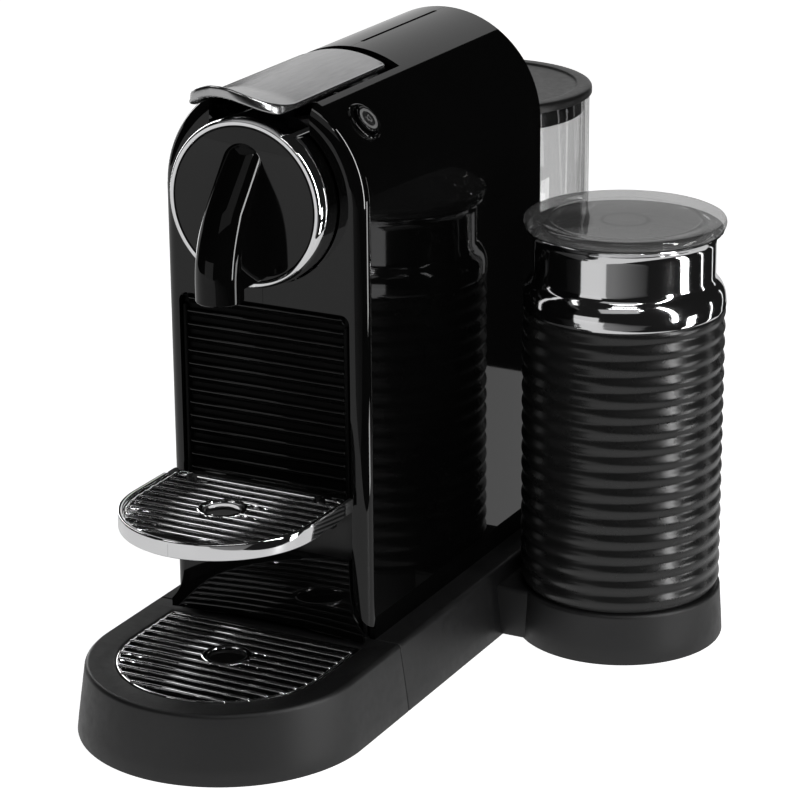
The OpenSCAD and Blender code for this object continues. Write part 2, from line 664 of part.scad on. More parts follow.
module tank() color([0.85, 0.88, 0.9, 0.35]) place() {
  difference() {
    tank_form(tank_r, tank_y0, 33.2, tank_z1);
    tank_form(tank_r - tank_wall, tank_y0 + tank_wall, 35.7, tank_z1 + 5);
    rod_z(5, 30, 40, 0, tank_yc);
  }
}
module tank_valve() color([0.1, 0.1, 0.1]) place() {
  difference() {
    union() {
      rod_z(5, 26, 35.7, 0, tank_yc);
      rod_z(9, 35.7, 38.2, 0, tank_yc);
    }
    rod_z(2.5, 20, 45, 0, tank_yc);
  }
}
module tank_lid() color([0.05, 0.05, 0.05]) place() {
  difference() {
    union() {
      tank_form(tank_r + 2, tank_y0 - 0.3, tank_z1 + 0.4, tank_z1 + 6.2);
      tank_form(tank_r + 1, tank_y0 + 0.7, tank_z1 + 6.2, tank_z1 + 7.6);
      tank_form(tank_r - tank_wall - 0.5, tank_y0 + tank_wall + 0.5, tank_z1 - 6, tank_z1 + 0.4);
    }
    tank_form(tank_r - tank_wall - 2.3, tank_y0 + tank_wall + 2.3, tank_z1 - 7, tank_z1 + 3.4);
    // shallow dish in the top
    tank_form(tank_r - 6, tank_y0 + 7, tank_z1 + 6.8, tank_z1 + 10);
  }
}

// Rounded rib of the sleeve: radius at height z
function sleeve_r(z) = jug_r - 0.55 + 0.55 * cos(360 * (z - 29.5) / jug_pitch);
module jug_bottom() color([0.04, 0.04, 0.04]) place() at_jug() rotate_extrude()
  polygon([[14.6, 24.5], [43.8, 24.5], [43.8, 25.9], [43, 25.9], [43, 40], [40.5, 40], [40.5, 33], [20, 33], [20, 36], [0, 36], [0, 33.4], [14.6, 33.4]]);
module jug_sleeve() color([0.04, 0.04, 0.04]) place() at_jug() {
  z1 = min(26.2 + jug_ribs * jug_pitch, 157.3);
  difference() {
    rotate_extrude() polygon(concat([[43.2, 26.2]], [for (z = [26.2:jug_pitch / 8:z1]) [sleeve_r(z), z]], [[jug_r - 0.6, 157.9], [43.2, 157.9]]));
    rod_y(7.3, 30, 60, 0, 118);
  }
}
module jug_collar() color([0.85, 0.85, 0.87]) place() at_jug() rotate_extrude($fn = 96)
  polygon([[jug_r - 2.2, 158], [jug_r - 0.1, 158], [jug_r + 0.1, 159.4], [jug_r + 0.1, 162.4], [jug_r - 0.5, 165], [jug_r - 1.7, 167.3], [jug_r - 3.3, 169.2], [jug_r - 4.4, 171],
    [jug_r - 4.8, 173.4], [jug_r - 4.8, 189], [jug_r - 4.3, 190.8], [jug_r - 3.1, 192.6], [jug_r - 1.6, 193.8],
    [jug_r - 2.2, 194.4], [jug_r - 4, 193.4], [jug_r - 5.3, 191.6], [jug_r - 5.8, 189], [jug_r - 5.8, 173], [jug_r - 5.4, 170.6], [jug_r - 4.2, 168.4], [jug_r - 2.7, 166.4], [jug_r - 1.5, 164], [jug_r - 1.1, 162], [jug_r - 1.1, 160.4], [jug_r - 2.2, 160]]);
module jug_can() color([0.5, 0.5, 0.51]) place() at_jug() rotate_extrude($fn = 96)
  polygon([[0, 44.4], [38.4, 44.4], [40.3, 47], [40.3, 189.4], [39.2, 189.4], [39.2, 47.6], [38, 45.6], [3.2, 45.6], [3.2, 52], [2.2, 53], [0, 53]]);
module jug_drive() color([0.45, 0.45, 0.46]) place() at_jug() {
  difference() {
    union() { rod_z(36, 40, 44.2, 0, 0); rod_z(14, 36.1, 40, 0, 0); }
    rod_z(26, 42, 45, 0, 0);
  }
  rod_z(25, 42, 44.1, 0, 0);
}
// Whisk: a hub on the magnetic pin with a coiled ring round it
module whisk() color([0.7, 0.7, 0.72]) place() at_jug() {
  difference() {
    union() {
      rod_z(6.5, 46.4, 55.5, 0, 0);
      for (a = [0:60:359]) rotate([0, 0, a]) block(5, 15.5, -0.7, 0.7, 50, 51.6);
      rotate_extrude() translate([17, 50.8]) circle(r = 2.3);
    }
    rod_z(3.5, 46, 54, 0, 0);
  }
}
module jug_lid() color([0.75, 0.77, 0.8, 0.45]) place() at_jug() {
  rotate_extrude($fn = 96)
    polygon([[0, 198.8], [33.6, 198.8], [34.2, 197.4], [35.4, 197.2], [35.4, 184.4], [37.2, 184.4], [37.2, 194.8], [jug_r - 1.2, 194.8], [jug_r - 0.4, 198.4], [jug_r - 0.7, 200.6],
      [jug_r - 1.8, 201.9], [jug_r - 4.4, 201.9], [36.4, 200.4], [34.6, 200.6], [0, 200.6]]);
  // holder of the spare whisk
  difference() { rod_z(11.5, 191, 198.8, 0, 0); rod_z(9.7, 190, 197.2, 0, 0); }
}
module jug_lid_seal() color([0.6, 0.6, 0.62]) place() at_jug() rotate_extrude()
  polygon([[37.2, 186], [38.7, 186.8], [38.7, 188.2], [37.2, 189]]);
module jug_button() color([0.1, 0.1, 0.1]) place() at_jug() {
  rod_y(6.8, 44.4, 46.9, 0, 118);
}

rear_base();
bottom_plates();
rubber_feet();
cord_inlet();
tank_dock();
tank_socket();
shell_left();
shell_right();
back_cover();
frame_side_left();
frame_side_right();
frame_bulkhead();
frame_deck();
top_insert();
brew_ring();
brew_face();
spout();
brew_head();
piston_guide();
lever_bracket();
pump();
pump_mounts();
flow_meter();
thermoblock();
control_board();
button_switches();
water_tubes();
case_screws();
frother_base();
jug_connector();
lever_plate();
lever_arms();
hinge_pins();
capsule_piston();
piston_rocker();
espresso_button();
lungo_button();
capsule_container();
grille_front();
splash_panel();
tray_bracket();
cup_tray_band();
cup_tray_grid();
cup_tray_pan();
cup_tray_pins();
drip_tray_cover();
drip_tub();
drip_grid();
tank();
tank_valve();
tank_lid();
jug_bottom();
jug_sleeve();
jug_collar();
jug_can();
jug_drive();
whisk();
jug_lid();
jug_lid_seal();
jug_button();
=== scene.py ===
import json
import math
import bpy
import bmesh
import numpy as np
from mathutils import Vector, Matrix

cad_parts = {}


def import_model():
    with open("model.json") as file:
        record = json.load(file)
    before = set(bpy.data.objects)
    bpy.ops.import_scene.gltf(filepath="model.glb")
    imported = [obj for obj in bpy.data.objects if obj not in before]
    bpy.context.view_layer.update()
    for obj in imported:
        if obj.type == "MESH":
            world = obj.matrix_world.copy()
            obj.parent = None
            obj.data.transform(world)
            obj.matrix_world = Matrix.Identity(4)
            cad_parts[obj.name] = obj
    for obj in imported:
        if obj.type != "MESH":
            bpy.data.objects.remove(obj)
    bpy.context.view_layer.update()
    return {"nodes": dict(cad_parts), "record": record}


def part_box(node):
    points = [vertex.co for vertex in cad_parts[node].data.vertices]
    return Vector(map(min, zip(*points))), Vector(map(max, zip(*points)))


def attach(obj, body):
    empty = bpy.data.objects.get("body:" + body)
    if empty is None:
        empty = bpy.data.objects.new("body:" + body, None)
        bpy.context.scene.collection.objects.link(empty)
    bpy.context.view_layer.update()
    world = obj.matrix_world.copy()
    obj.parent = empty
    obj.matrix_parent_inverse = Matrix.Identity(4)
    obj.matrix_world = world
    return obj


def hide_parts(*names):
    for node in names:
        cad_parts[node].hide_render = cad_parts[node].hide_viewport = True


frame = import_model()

NODES = frame["nodes"]

# The pieces are written in millimetres: x = 0 on the machine's centre plane,
# y = 0 just behind the front panel with +y to the back, z = 0 on the table.
_ring_lo, _ring_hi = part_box("brew_ring")
_face_lo, _face_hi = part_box("brew_face")
ORG = np.array([(_ring_lo.x + _ring_hi.x) / 2, _face_lo.y + 0.0166, 0.0])
_col_lo, _col_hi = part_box("jug_collar")
JX = ((_col_lo.x + _col_hi.x) / 2 - ORG[0]) * 1000
JY = ((_col_lo.y + _col_hi.y) / 2 - ORG[1]) * 1000
BREW_Z = (_ring_lo.z + _ring_hi.z) * 500
ARCH_Z, BODY_R, BODY_Y0, BODY_Y1, BODY_F = 227.8, 49.2, -2.2, 173.0, 7.0
pi = math.pi


def P(x, y, z):
    return Vector((ORG[0] + x / 1000, ORG[1] + y / 1000, z / 1000))


# ---------------------------------------------------------------- geometry
def arc(cx, cy, r, a0, a1, n):
    return [(cx + r * math.cos(math.radians(a0 + (a1 - a0) * i / n)),
             cy + r * math.sin(math.radians(a0 + (a1 - a0) * i / n))) for i in range(n + 1)]


def rounded(pts, rad, n=5, closed=True):
    """The polygon with its corners rounded; rad is one radius or one per corner."""
    out, m = [], len(pts)
    rads = rad if hasattr(rad, "__len__") else [rad] * m
    for i, p in enumerate(pts):
        r = rads[i]
        if r <= 0 or (not closed and i in (0, m - 1)):
            out.append(tuple(p))
            continue
        p = np.array(p, float)
        a, b = np.array(pts[i - 1], float) - p, np.array(pts[(i + 1) % m], float) - p
        la, lb = np.linalg.norm(a), np.linalg.norm(b)
        if la < 1e-9 or lb < 1e-9:
            out.append(tuple(p))
            continue
        a, b = a / la, b / lb
        ang = math.acos(max(-1, min(1, float(a @ b))))
        if ang > pi - 0.02:
            out.append(tuple(p))
            continue
        t = min(r / math.tan(ang / 2), 0.49 * la, 0.49 * lb)
        rr = t * math.tan(ang / 2)
        bis = (a + b) / np.linalg.norm(a + b)
        c = p + bis * rr / math.sin(ang / 2)
        v0, v1 = p + a * t - c, p + b * t - c
        th = math.acos(max(-1, min(1, float(v0 @ v1) / (rr * rr))))
        for k in range(n + 1):
            s = k / n
            q = (math.sin((1 - s) * th) * v0 + math.sin(s * th) * v1) / math.sin(th)
            out.append(tuple(c + q))
    return out


def lathe(profile, segs=160, closed=True, turn=None):
    """Closed (r, h) profile turned about Z. Gives verts, faces and the profile segment of each face."""
    idx, verts = [], []
    for r, h in profile:
        if r < 1e-6:
            idx.append([len(verts)] * segs)
            verts.append((0, 0, h))
        else:
            idx.append(list(range(len(verts), len(verts) + segs)))
            verts += [(r * math.cos(2 * pi * i / segs), r * math.sin(2 * pi * i / segs), h) for i in range(segs)]
    faces, seg = [], []
    m = len(profile)
    for j in range(m if closed else m - 1):
        a, b = idx[j], idx[(j + 1) % m]
        for i in range(segs):
            k = (i + 1) % segs
            f = [a[i], a[k], b[k], b[i]]
            g = [v for q, v in enumerate(f) if v not in f[:q]]
            if len(g) > 2:
                faces.append(g)
                seg.append(j)
    v = np.array(verts, float)
    if turn is not None:
        v = v @ np.array(turn, float).T
    return v, faces, seg


TO_Y = [(1, 0, 0), (0, 0, -1), (0, -1, 0)]   # local h runs towards the front (-y)


def loft(rings, close=False, cap0=True, cap1=True):
    """Closed rings of equal length, joined in order."""
    n = len(rings[0])
    verts = [tuple(p) for r in rings for p in r]
    faces = []
    m = len(rings)
    for j in range(m if close else m - 1):
        a, b = j * n, ((j + 1) % m) * n
        for i in range(n):
            k = (i + 1) % n
            faces.append([a + i, a + k, b + k, b + i])
    if not close:
        if cap0:
            faces.append(list(range(n))[::-1])
        if cap1:
            faces.append(list(range((m - 1) * n, m * n)))
    return np.array(verts, float), faces


def prism(poly, h0, h1, plane="xy", edge=0.0, n=3):
    """Extruded outline. plane xy extrudes along z, xz along y, yz along x. edge rounds the rims."""
    poly = np.array(poly, float)
    area = 0.5 * np.sum(poly[:, 0] * np.roll(poly[:, 1], -1) - np.roll(poly[:, 0], -1) * poly[:, 1])
    if area < 0:
        poly = poly[::-1]

    def inset(d):
        nxt, prv = np.roll(poly, -1, 0), np.roll(poly, 1, 0)
        e1, e0 = nxt - poly, poly - prv
        n1 = np.stack([-e1[:, 1], e1[:, 0]], 1) / np.maximum(np.linalg.norm(e1, axis=1), 1e-9)[:, None]
        n0 = np.stack([-e0[:, 1], e0[:, 0]], 1) / np.maximum(np.linalg.norm(e0, axis=1), 1e-9)[:, None]
        b = n0 + n1
        L = np.maximum((b * b).sum(1), 0.35)[:, None]
        return poly + b * 2 / L * d
    if edge > 0:
        lo = [(h0 + edge * (1 - math.sin(pi / 2 * i / n)), edge * (1 - math.cos(pi / 2 * i / n))) for i in range(n, -1, -1)]
        hi = [(h1 - edge * (1 - math.sin(pi / 2 * i / n)), edge * (1 - math.cos(pi / 2 * i / n))) for i in range(0, n + 1)]
        levels = lo + hi
    else:
        levels = [(h0, 0), (h1, 0)]
    rings = []
    for h, d in levels:
        q = inset(d) if d > 0 else poly
        if plane == "xy":
            rings.append([(x, y, h) for x, y in q])
        elif plane == "xz":
            rings.append([(x, h, z) for x, z in q])
        else:
            rings.append([(h, y, z) for y, z in q])
    return loft(rings)


def box_mesh(x0, x1, y0, y1, z0, z1, edge=0.0, n=2):
    r = min(edge, 0.45 * min(x1 - x0, y1 - y0)) if edge else 0
    poly = rounded([(x0, y0), (x1, y0), (x1, y1), (x0, y1)], r, n) if r else [(x0, y0), (x1, y0), (x1, y1), (x0, y1)]
    return prism(poly, z0, z1, "xy", edge=edge, n=n)


def join(*parts):
    """Several (verts, faces) as one, with the material index of each part if given as a third item."""
    V, F, M, o = [], [], [], 0
    for p in parts:
        v, f = p[0], p[1]
        m = p[2] if len(p) > 2 else 0
        V.append(np.array(v, float))
        F += [[i + o for i in q] for q in f]
        M += [m] * len(f) if not hasattr(m, "__len__") else list(m)
        o += len(v)
    return np.concatenate(V), F, M


def move(part, dx=0, dy=0, dz=0):
    return (np.array(part[0], float) + np.array([dx, dy, dz]),) + tuple(part[1:])


def mirror_x(part):
    return (np.array(part[0], float) * np.array([-1, 1, 1]), [f[::-1] for f in part[1]]) + tuple(part[2:])


def dform(r, yc, y1, corner=0.0, n=96, ns=6, nb=6, nc=5):
    """Half disc to the front of yc with a straight part to y1, anticlockwise from the right, always the same count of points."""
    pts = []
    for i in range(n + 1):
        a = -pi * i / n
        pts.append((r * math.cos(a), yc + r * math.sin(a)))
    c = max(corner, 1e-4)
    for i in range(1, ns):
        pts.append((-r, yc + (y1 - c - yc) * i / ns))
    pts += arc(-r + c, y1 - c, c, 180, 90, nc)
    for i in range(1, nb):
        pts.append((-r + c + (2 * r - 2 * c) * i / nb, y1))
    pts += arc(r - c, y1 - c, c, 90, 0, nc)
    for i in range(1, ns):
        pts.append((r, y1 - c + (yc - (y1 - c)) * i / ns))
    return pts


def ring_at(pts, z):
    return [(x, y, z) for x, y in pts]


# ---------------------------------------------------------------- objects
def smooth_angle(me, angle):
    for p in me.polygons:
        p.use_smooth = True
    me.set_sharp_from_angle(angle=math.radians(angle))


def tool(part):
    me = bpy.data.meshes.new("tool")
    me.from_pydata(np.array(part[0], float).tolist(), [], [list(map(int, f)) for f in part[1]])
    bm = bmesh.new(); bm.from_mesh(me)
    bmesh.ops.recalc_face_normals(bm, faces=bm.faces)
    bm.to_mesh(me); bm.free()
    ob = bpy.data.objects.new("tool", me)
    bpy.context.scene.collection.objects.link(ob)
    return ob


def evaluated(ob):
    dg = bpy.context.evaluated_depsgraph_get()
    dg.update()
    me = bpy.data.meshes.new_from_object(ob.evaluated_get(dg))
    v = np.zeros(len(me.vertices) * 3)
    me.vertices.foreach_get("co", v)
    out = v.reshape(-1, 3), [list(p.vertices) for p in me.polygons], [p.material_index for p in me.polygons]
    bpy.data.meshes.remove(me)
    return out


def carve(part, cut=(), add=(), keep=()):
    """Boolean of (verts, faces) parts in millimetres: add unites, cut takes away, keep intersects."""
    base = tool(part)
    if len(part) > 2:
        for k in range(max(part[2]) + 1):
            base.data.materials.append(bpy.data.materials.new("t"))
        for p, m in zip(base.data.polygons, part[2]):
            p.material_index = m
    tools = []
    for op, group in (("UNION", add), ("DIFFERENCE", cut), ("INTERSECT", keep)):
        for t in group:
            o = tool(t)
            tools.append(o)
            m = base.modifiers.new("b", "BOOLEAN")
            m.object, m.operation, m.solver = o, op, "EXACT"
    v, f, mi = evaluated(base)
    for o in tools + [base]:
        me = o.data
        bpy.data.objects.remove(o)
        bpy.data.meshes.remove(me)
    return v, f, mi


def piece(name, part, body, mats, replaces=(), angle=32, normals=None, bevel=None):
    """A finished piece from millimetre data."""
    v, f = np.array(part[0], float), part[1]
    mi = part[2] if len(part) > 2 else None
    me = bpy.data.meshes.new(name)
    me.from_pydata((v / 1000 + ORG).tolist(), [], [list(map(int, q)) for q in f])
    mats = mats if isinstance(mats, (list, tuple)) else [mats]
    for m in mats:
        me.materials.append(m)
    if mi is not None and len(mats) > 1:
        for p, k in zip(me.polygons, mi):
            p.material_index = k
    bm = bmesh.new(); bm.from_mesh(me)
    bmesh.ops.remove_doubles(bm, verts=bm.verts, dist=2e-7)
    bmesh.ops.dissolve_degenerate(bm, dist=1e-7, edges=bm.edges)
    loose = [w for w in bm.verts if not w.link_faces]
    bmesh.ops.delete(bm, geom=loose, context="VERTS")
    bmesh.ops.recalc_face_normals(bm, faces=bm.faces)
    bm.to_mesh(me); bm.free()
    ob = bpy.data.objects.new(name, me)
    bpy.context.scene.collection.objects.link(ob)
    if bevel:
        m = ob.modifiers.new("bevel", "BEVEL")
        m.width, m.segments, m.limit_method, m.angle_limit = bevel / 1000, 3, "ANGLE", math.radians(40)
        m.harden_normals = False
        dg = bpy.context.evaluated_depsgraph_get(); dg.update()
        new = bpy.data.meshes.new_from_object(ob.evaluated_get(dg))
        ob.modifiers.clear()
        old = ob.data
        ob.data = new
        bpy.data.meshes.remove(old)
        new.name = name
        me = new
    smooth_angle(me, angle)
    if normals is not None:
        set_normals(me, normals)
    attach(ob, body)
    if replaces:
        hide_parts(*replaces)
    return ob


def set_normals(me, fn, limit=0.93):
    """Exact normals where the surface is the ideal one; flat ones on cut walls."""
    me.update()
    nl = len(me.loops)
    lv = np.zeros(nl, np.int32); me.loops.foreach_get("vertex_index", lv)
    co = np.zeros(len(me.vertices) * 3); me.vertices.foreach_get("co", co)
    co = (co.reshape(-1, 3) - ORG) * 1000
    npoly = len(me.polygons)
    pn = np.zeros(npoly * 3); me.polygons.foreach_get("normal", pn)
    pn = pn.reshape(-1, 3)
    tot = np.zeros(npoly, np.int32); me.polygons.foreach_get("loop_total", tot)
    fnorm = np.repeat(pn, tot, axis=0)
    cand = fn(co[lv])
    d = (cand * fnorm).sum(1)
    cand = np.where(d[:, None] < 0, -cand, cand)
    out = np.where(np.abs(d)[:, None] > limit, cand, fnorm)
    # one choice for a whole face, so that no face is half bent
    start = np.concatenate([[0], np.cumsum(tot)[:-1]])
    worst = np.minimum.reduceat(np.abs(d), start)
    bad = np.repeat(worst < limit, tot)
    out[bad] = fnorm[bad]
    me.normals_split_custom_set(out.tolist())


def lathe_piece(name, profile, at, body, slot, mats, replaces=(), segs=160, angle=32, turn=None, seg_mats=None):
    v, f, seg = lathe(profile, segs, turn=turn)
    v = v + np.array(at)
    mi = [seg_mats[s] for s in seg] if seg_mats is not None else None
    return piece(name, (v, f) if mi is None else (v, f, mi), body, mats, replaces, angle)


# ---------------------------------------------------------------- materials
def node_mat(name):
    m = bpy.data.materials.new(name)
    m.use_nodes = True
    nt = m.node_tree
    nt.nodes.clear()
    out = nt.nodes.new("ShaderNodeOutputMaterial")
    b = nt.nodes.new("ShaderNodeBsdfPrincipled")
    nt.links.new(b.outputs[0], out.inputs[0])
    return m, nt, b


def noise(nt, scale, stretch=(1, 1, 1), detail=2.0, rough=0.5):
    tc = nt.nodes.new("ShaderNodeTexCoord")
    mp = nt.nodes.new("ShaderNodeMapping")
    mp.inputs["Scale"].default_value = stretch
    nx = nt.nodes.new("ShaderNodeTexNoise")
    nx.inputs["Scale"].default_value = scale
    nx.inputs["Detail"].default_value = detail
    nx.inputs["Roughness"].default_value = rough
    nt.links.new(tc.outputs["Object"], mp.inputs["Vector"])
    nt.links.new(mp.outputs["Vector"], nx.inputs["Vector"])
    return nx


def ramp(nt, src, lo, hi, to):
    r = nt.nodes.new("ShaderNodeMapRange")
    r.inputs["From Min"].default_value = 0.3
    r.inputs["From Max"].default_value = 0.7
    r.inputs["To Min"].default_value = lo
    r.inputs["To Max"].default_value = hi
    nt.links.new(src, r.inputs["Value"])
    nt.links.new(r.outputs["Result"], to)


def tint(nt, src, c0, c1, to):
    r = nt.nodes.new("ShaderNodeValToRGB")
    r.color_ramp.elements[0].position = 0.3
    r.color_ramp.elements[1].position = 0.7
    r.color_ramp.elements[0].color = (*c0, 1)
    r.color_ramp.elements[1].color = (*c1, 1)
    nt.links.new(src, r.inputs["Fac"])
    nt.links.new(r.outputs["Color"], to)


def bump(nt, b, src, distance, strength=1.0):
    k = nt.nodes.new("ShaderNodeBump")
    k.inputs["Strength"].default_value = strength
    k.inputs["Distance"].default_value = distance
    nt.links.new(src, k.inputs["Height"])
    nt.links.new(k.outputs["Normal"], b.inputs["Normal"])


def g3(v, t=0.0):
    return (v, v, v * (1 + t))


def surface(name, c0, c1, r0, r1, metallic=0.0, ior=1.5, cscale=25, rscale=90, grain=None, stretch=(1, 1, 1), anis=0.0, spec=None):
    m, nt, b = node_mat(name)
    b.inputs["Metallic"].default_value = metallic
    b.inputs["IOR"].default_value = ior
    if spec is not None:
        b.inputs["Specular IOR Level"].default_value = spec
    if anis:
        b.inputs["Anisotropic"].default_value = anis
    n1 = noise(nt, cscale)
    tint(nt, n1.outputs["Fac"], c0, c1, b.inputs["Base Color"])
    n2 = noise(nt, rscale, stretch, 4.0, 0.6)
    ramp(nt, n2.outputs["Fac"], r0, r1, b.inputs["Roughness"])
    if grain:
        n3 = noise(nt, grain[0], stretch, 3.0, 0.6)
        bump(nt, b, n3.outputs["Fac"], grain[1], grain[2] if len(grain) > 2 else 1.0)
    return m


M = {}
M["gloss"] = surface("gloss_black", g3(0.0014), g3(0.0022), 0.022, 0.045, ior=1.45, cscale=14, rscale=160)
M["spout"] = surface("gloss_black_spout", g3(0.0014), g3(0.0022), 0.022, 0.045, ior=1.45, cscale=14, rscale=160, spec=0.3)
M["gloss_inner"] = surface("gloss_black_inner", g3(0.005), g3(0.007), 0.10, 0.16, ior=1.45, rscale=200)
M["base"] = surface("satin_black_plastic", g3(0.0070, .03), g3(0.0098, .03), 0.40, 0.50, cscale=18, rscale=240, grain=(2600, 0.00002, 0.5))
M["inner"] = surface("moulded_black", g3(0.014), g3(0.019), 0.46, 0.58, cscale=22, rscale=300, grain=(1900, 0.00003, 0.6))
M["rubber"] = surface("rubber_black", g3(0.016), g3(0.024), 0.62, 0.78, cscale=60, rscale=200, grain=(1500, 0.00005, 0.8))
M["chrome"] = surface("chrome", g3(0.86, .01), g3(0.90, .01), 0.02, 0.06, metallic=1.0, cscale=20, rscale=120)
M["chrome_dark"] = surface("chrome_dark", g3(0.70, .01), g3(0.78, .01), 0.05, 0.10, metallic=1.0, cscale=20, rscale=150)
M["lever"] = surface("satin_metal", g3(0.475, .01), g3(0.52, .01), 0.17, 0.25, metallic=1.0, cscale=30, rscale=140, stretch=(6, 0.5, 6), grain=(320, 0.000008, 0.35))
M["steel"] = surface("sheet_steel", g3(0.42, .02), g3(0.52, .02), 0.26, 0.38, metallic=1.0, cscale=40, rscale=120, stretch=(1, 1, 12), grain=(220, 0.00001, 0.5))
M["cast"] = surface("cast_aluminium", g3(0.46, .01), g3(0.58, .01), 0.38, 0.52, metallic=1.0, cscale=70, rscale=260, grain=(900, 0.00006, 0.7))
M["pin"] = surface("ground_steel", g3(0.55, .01), g3(0.64, .01), 0.14, 0.22, metallic=1.0, cscale=50, rscale=300)
M["brass"] = surface("brass", (0.50, 0.36, 0.14), (0.60, 0.44, 0.19), 0.22, 0.34, metallic=1.0, cscale=60, rscale=220)
M["collar"] = surface("collar_chrome", g3(0.82, .01), g3(0.86, .01), 0.055, 0.09, metallic=1.0, cscale=16, rscale=60, stretch=(1, 1, 40), grain=(30, 0.000012, 0.35))
M["can"] = surface("can_inside", g3(0.24, .01), g3(0.30, .01), 0.24, 0.34, metallic=1.0, cscale=30, rscale=90, stretch=(1, 1, 30), grain=(60, 0.00001, 0.5))
M["sleeve"] = surface("sleeve_black", g3(0.0065), g3(0.0090), 0.255, 0.30, cscale=24, rscale=60, grain=(2800, 0.000003, 0.3))
M["deep"] = surface("deep_black", g3(0.0012), g3(0.0020), 0.34, 0.46, cscale=20, rscale=200, spec=0.05)
M["lid"] = surface("lid_black", g3(0.009), g3(0.0125), 0.32, 0.40, cscale=24, rscale=320, grain=(2200, 0.00002, 0.45), spec=0.36)
M["tube"] = surface("silicone_tube", g3(0.62, -.03), g3(0.70, -.03), 0.34, 0.44, cscale=80, rscale=240)
M["white"] = surface("white_plastic", g3(0.66, -.02), g3(0.74, -.02), 0.32, 0.42, cscale=60, rscale=240, grain=(1200, 0.00002, 0.4))
M["grey_print"] = surface("grey_print", g3(0.20), g3(0.25), 0.30, 0.38, cscale=200, rscale=400)
M["icon_dark"] = surface("button_face", g3(0.020), g3(0.028), 0.22, 0.30, cscale=200, rscale=400)
M["seal"] = surface("silicone_grey", g3(0.26), g3(0.32), 0.42, 0.52, cscale=80, rscale=300)


def clear(name, c0, c1, r0, r1, ior=1.49):
    m, nt, b = node_mat(name)
    b.inputs["Transmission Weight"].default_value = 1.0
    b.inputs["IOR"].default_value = ior
    n1 = noise(nt, 12)
    tint(nt, n1.outputs["Fac"], c0, c1, b.inputs["Base Color"])
    n2 = noise(nt, 70, (1, 1, 0.3), 3.0)
    ramp(nt, n2.outputs["Fac"], r0, r1, b.inputs["Roughness"])
    return m



def thin_clear(name, c0, c1, r0, r1, ior=1.5, haze=0.0):
    """Thin clear plastic: tinted see-through, with the mirror part rising towards the edges."""
    m, nt, b = node_mat(name)
    out = [n for n in nt.nodes if n.bl_idname == "ShaderNodeOutputMaterial"][0]
    tr, gl, mx, fr = (nt.nodes.new(k) for k in ("ShaderNodeBsdfTransparent", "ShaderNodeBsdfGlossy", "ShaderNodeMixShader", "ShaderNodeFresnel"))
    # the same share of mirror on the inner side of the wall as on the outer side
    geo, mul = nt.nodes.new("ShaderNodeNewGeometry"), nt.nodes.new("ShaderNodeMath")
    mul.operation = "MULTIPLY_ADD"
    nt.links.new(geo.outputs["Backfacing"], mul.inputs[0])
    mul.inputs[1].default_value, mul.inputs[2].default_value = 1 / ior - ior, ior
    nt.links.new(mul.outputs[0], fr.inputs["IOR"])
    n1 = noise(nt, 12)
    tint(nt, n1.outputs["Fac"], c0, c1, tr.inputs["Color"])
    n2 = noise(nt, 70, (1, 1, 0.3), 3.0)
    ramp(nt, n2.outputs["Fac"], r0, r1, gl.inputs["Roughness"])
    nt.links.new(fr.outputs[0], mx.inputs[0])
    body = tr.outputs[0]
    if haze:
        df, hz = nt.nodes.new("ShaderNodeBsdfDiffuse"), nt.nodes.new("ShaderNodeMixShader")
        n3 = noise(nt, 35)
        tint(nt, n3.outputs["Fac"], g3(0.30), g3(0.36), df.inputs["Color"])
        hz.inputs[0].default_value = haze
        nt.links.new(tr.outputs[0], hz.inputs[1])
        nt.links.new(df.outputs[0], hz.inputs[2])
        body = hz.outputs[0]
    nt.links.new(body, mx.inputs[1])
    nt.links.new(gl.outputs[0], mx.inputs[2])
    nt.links.new(mx.outputs[0], out.inputs["Surface"])
    return m


M["tank"] = thin_clear("clear_tank", g3(0.80), g3(0.83), 0.01, 0.03)
M["jug_lid"] = thin_clear("clear_lid", g3(0.70), g3(0.75), 0.01, 0.03, ior=1.6, haze=0.17)


def board_mat():
    m, nt, b = node_mat("circuit_board")
    tc = nt.nodes.new("ShaderNodeTexCoord")
    br = nt.nodes.new("ShaderNodeTexBrick")
    br.inputs["Scale"].default_value = 160
    br.inputs["Mortar Size"].default_value = 0.06
    br.inputs["Color1"].default_value = (0.010, 0.070, 0.030, 1)
    br.inputs["Color2"].default_value = (0.012, 0.085, 0.036, 1)
    br.inputs["Mortar"].default_value = (0.030, 0.15, 0.07, 1)
    mp = nt.nodes.new("ShaderNodeMapping")
    mp.inputs["Rotation"].default_value = (pi / 2, 0, 0)
    nt.links.new(tc.outputs["Object"], mp.inputs["Vector"])
    nt.links.new(mp.outputs["Vector"], br.inputs["Vector"])
    nt.links.new(br.outputs["Color"], b.inputs["Base Color"])
    n = noise(nt, 300)
    ramp(nt, n.outputs["Fac"], 0.28, 0.42, b.inputs["Roughness"])
    return m


M["board"] = board_mat()


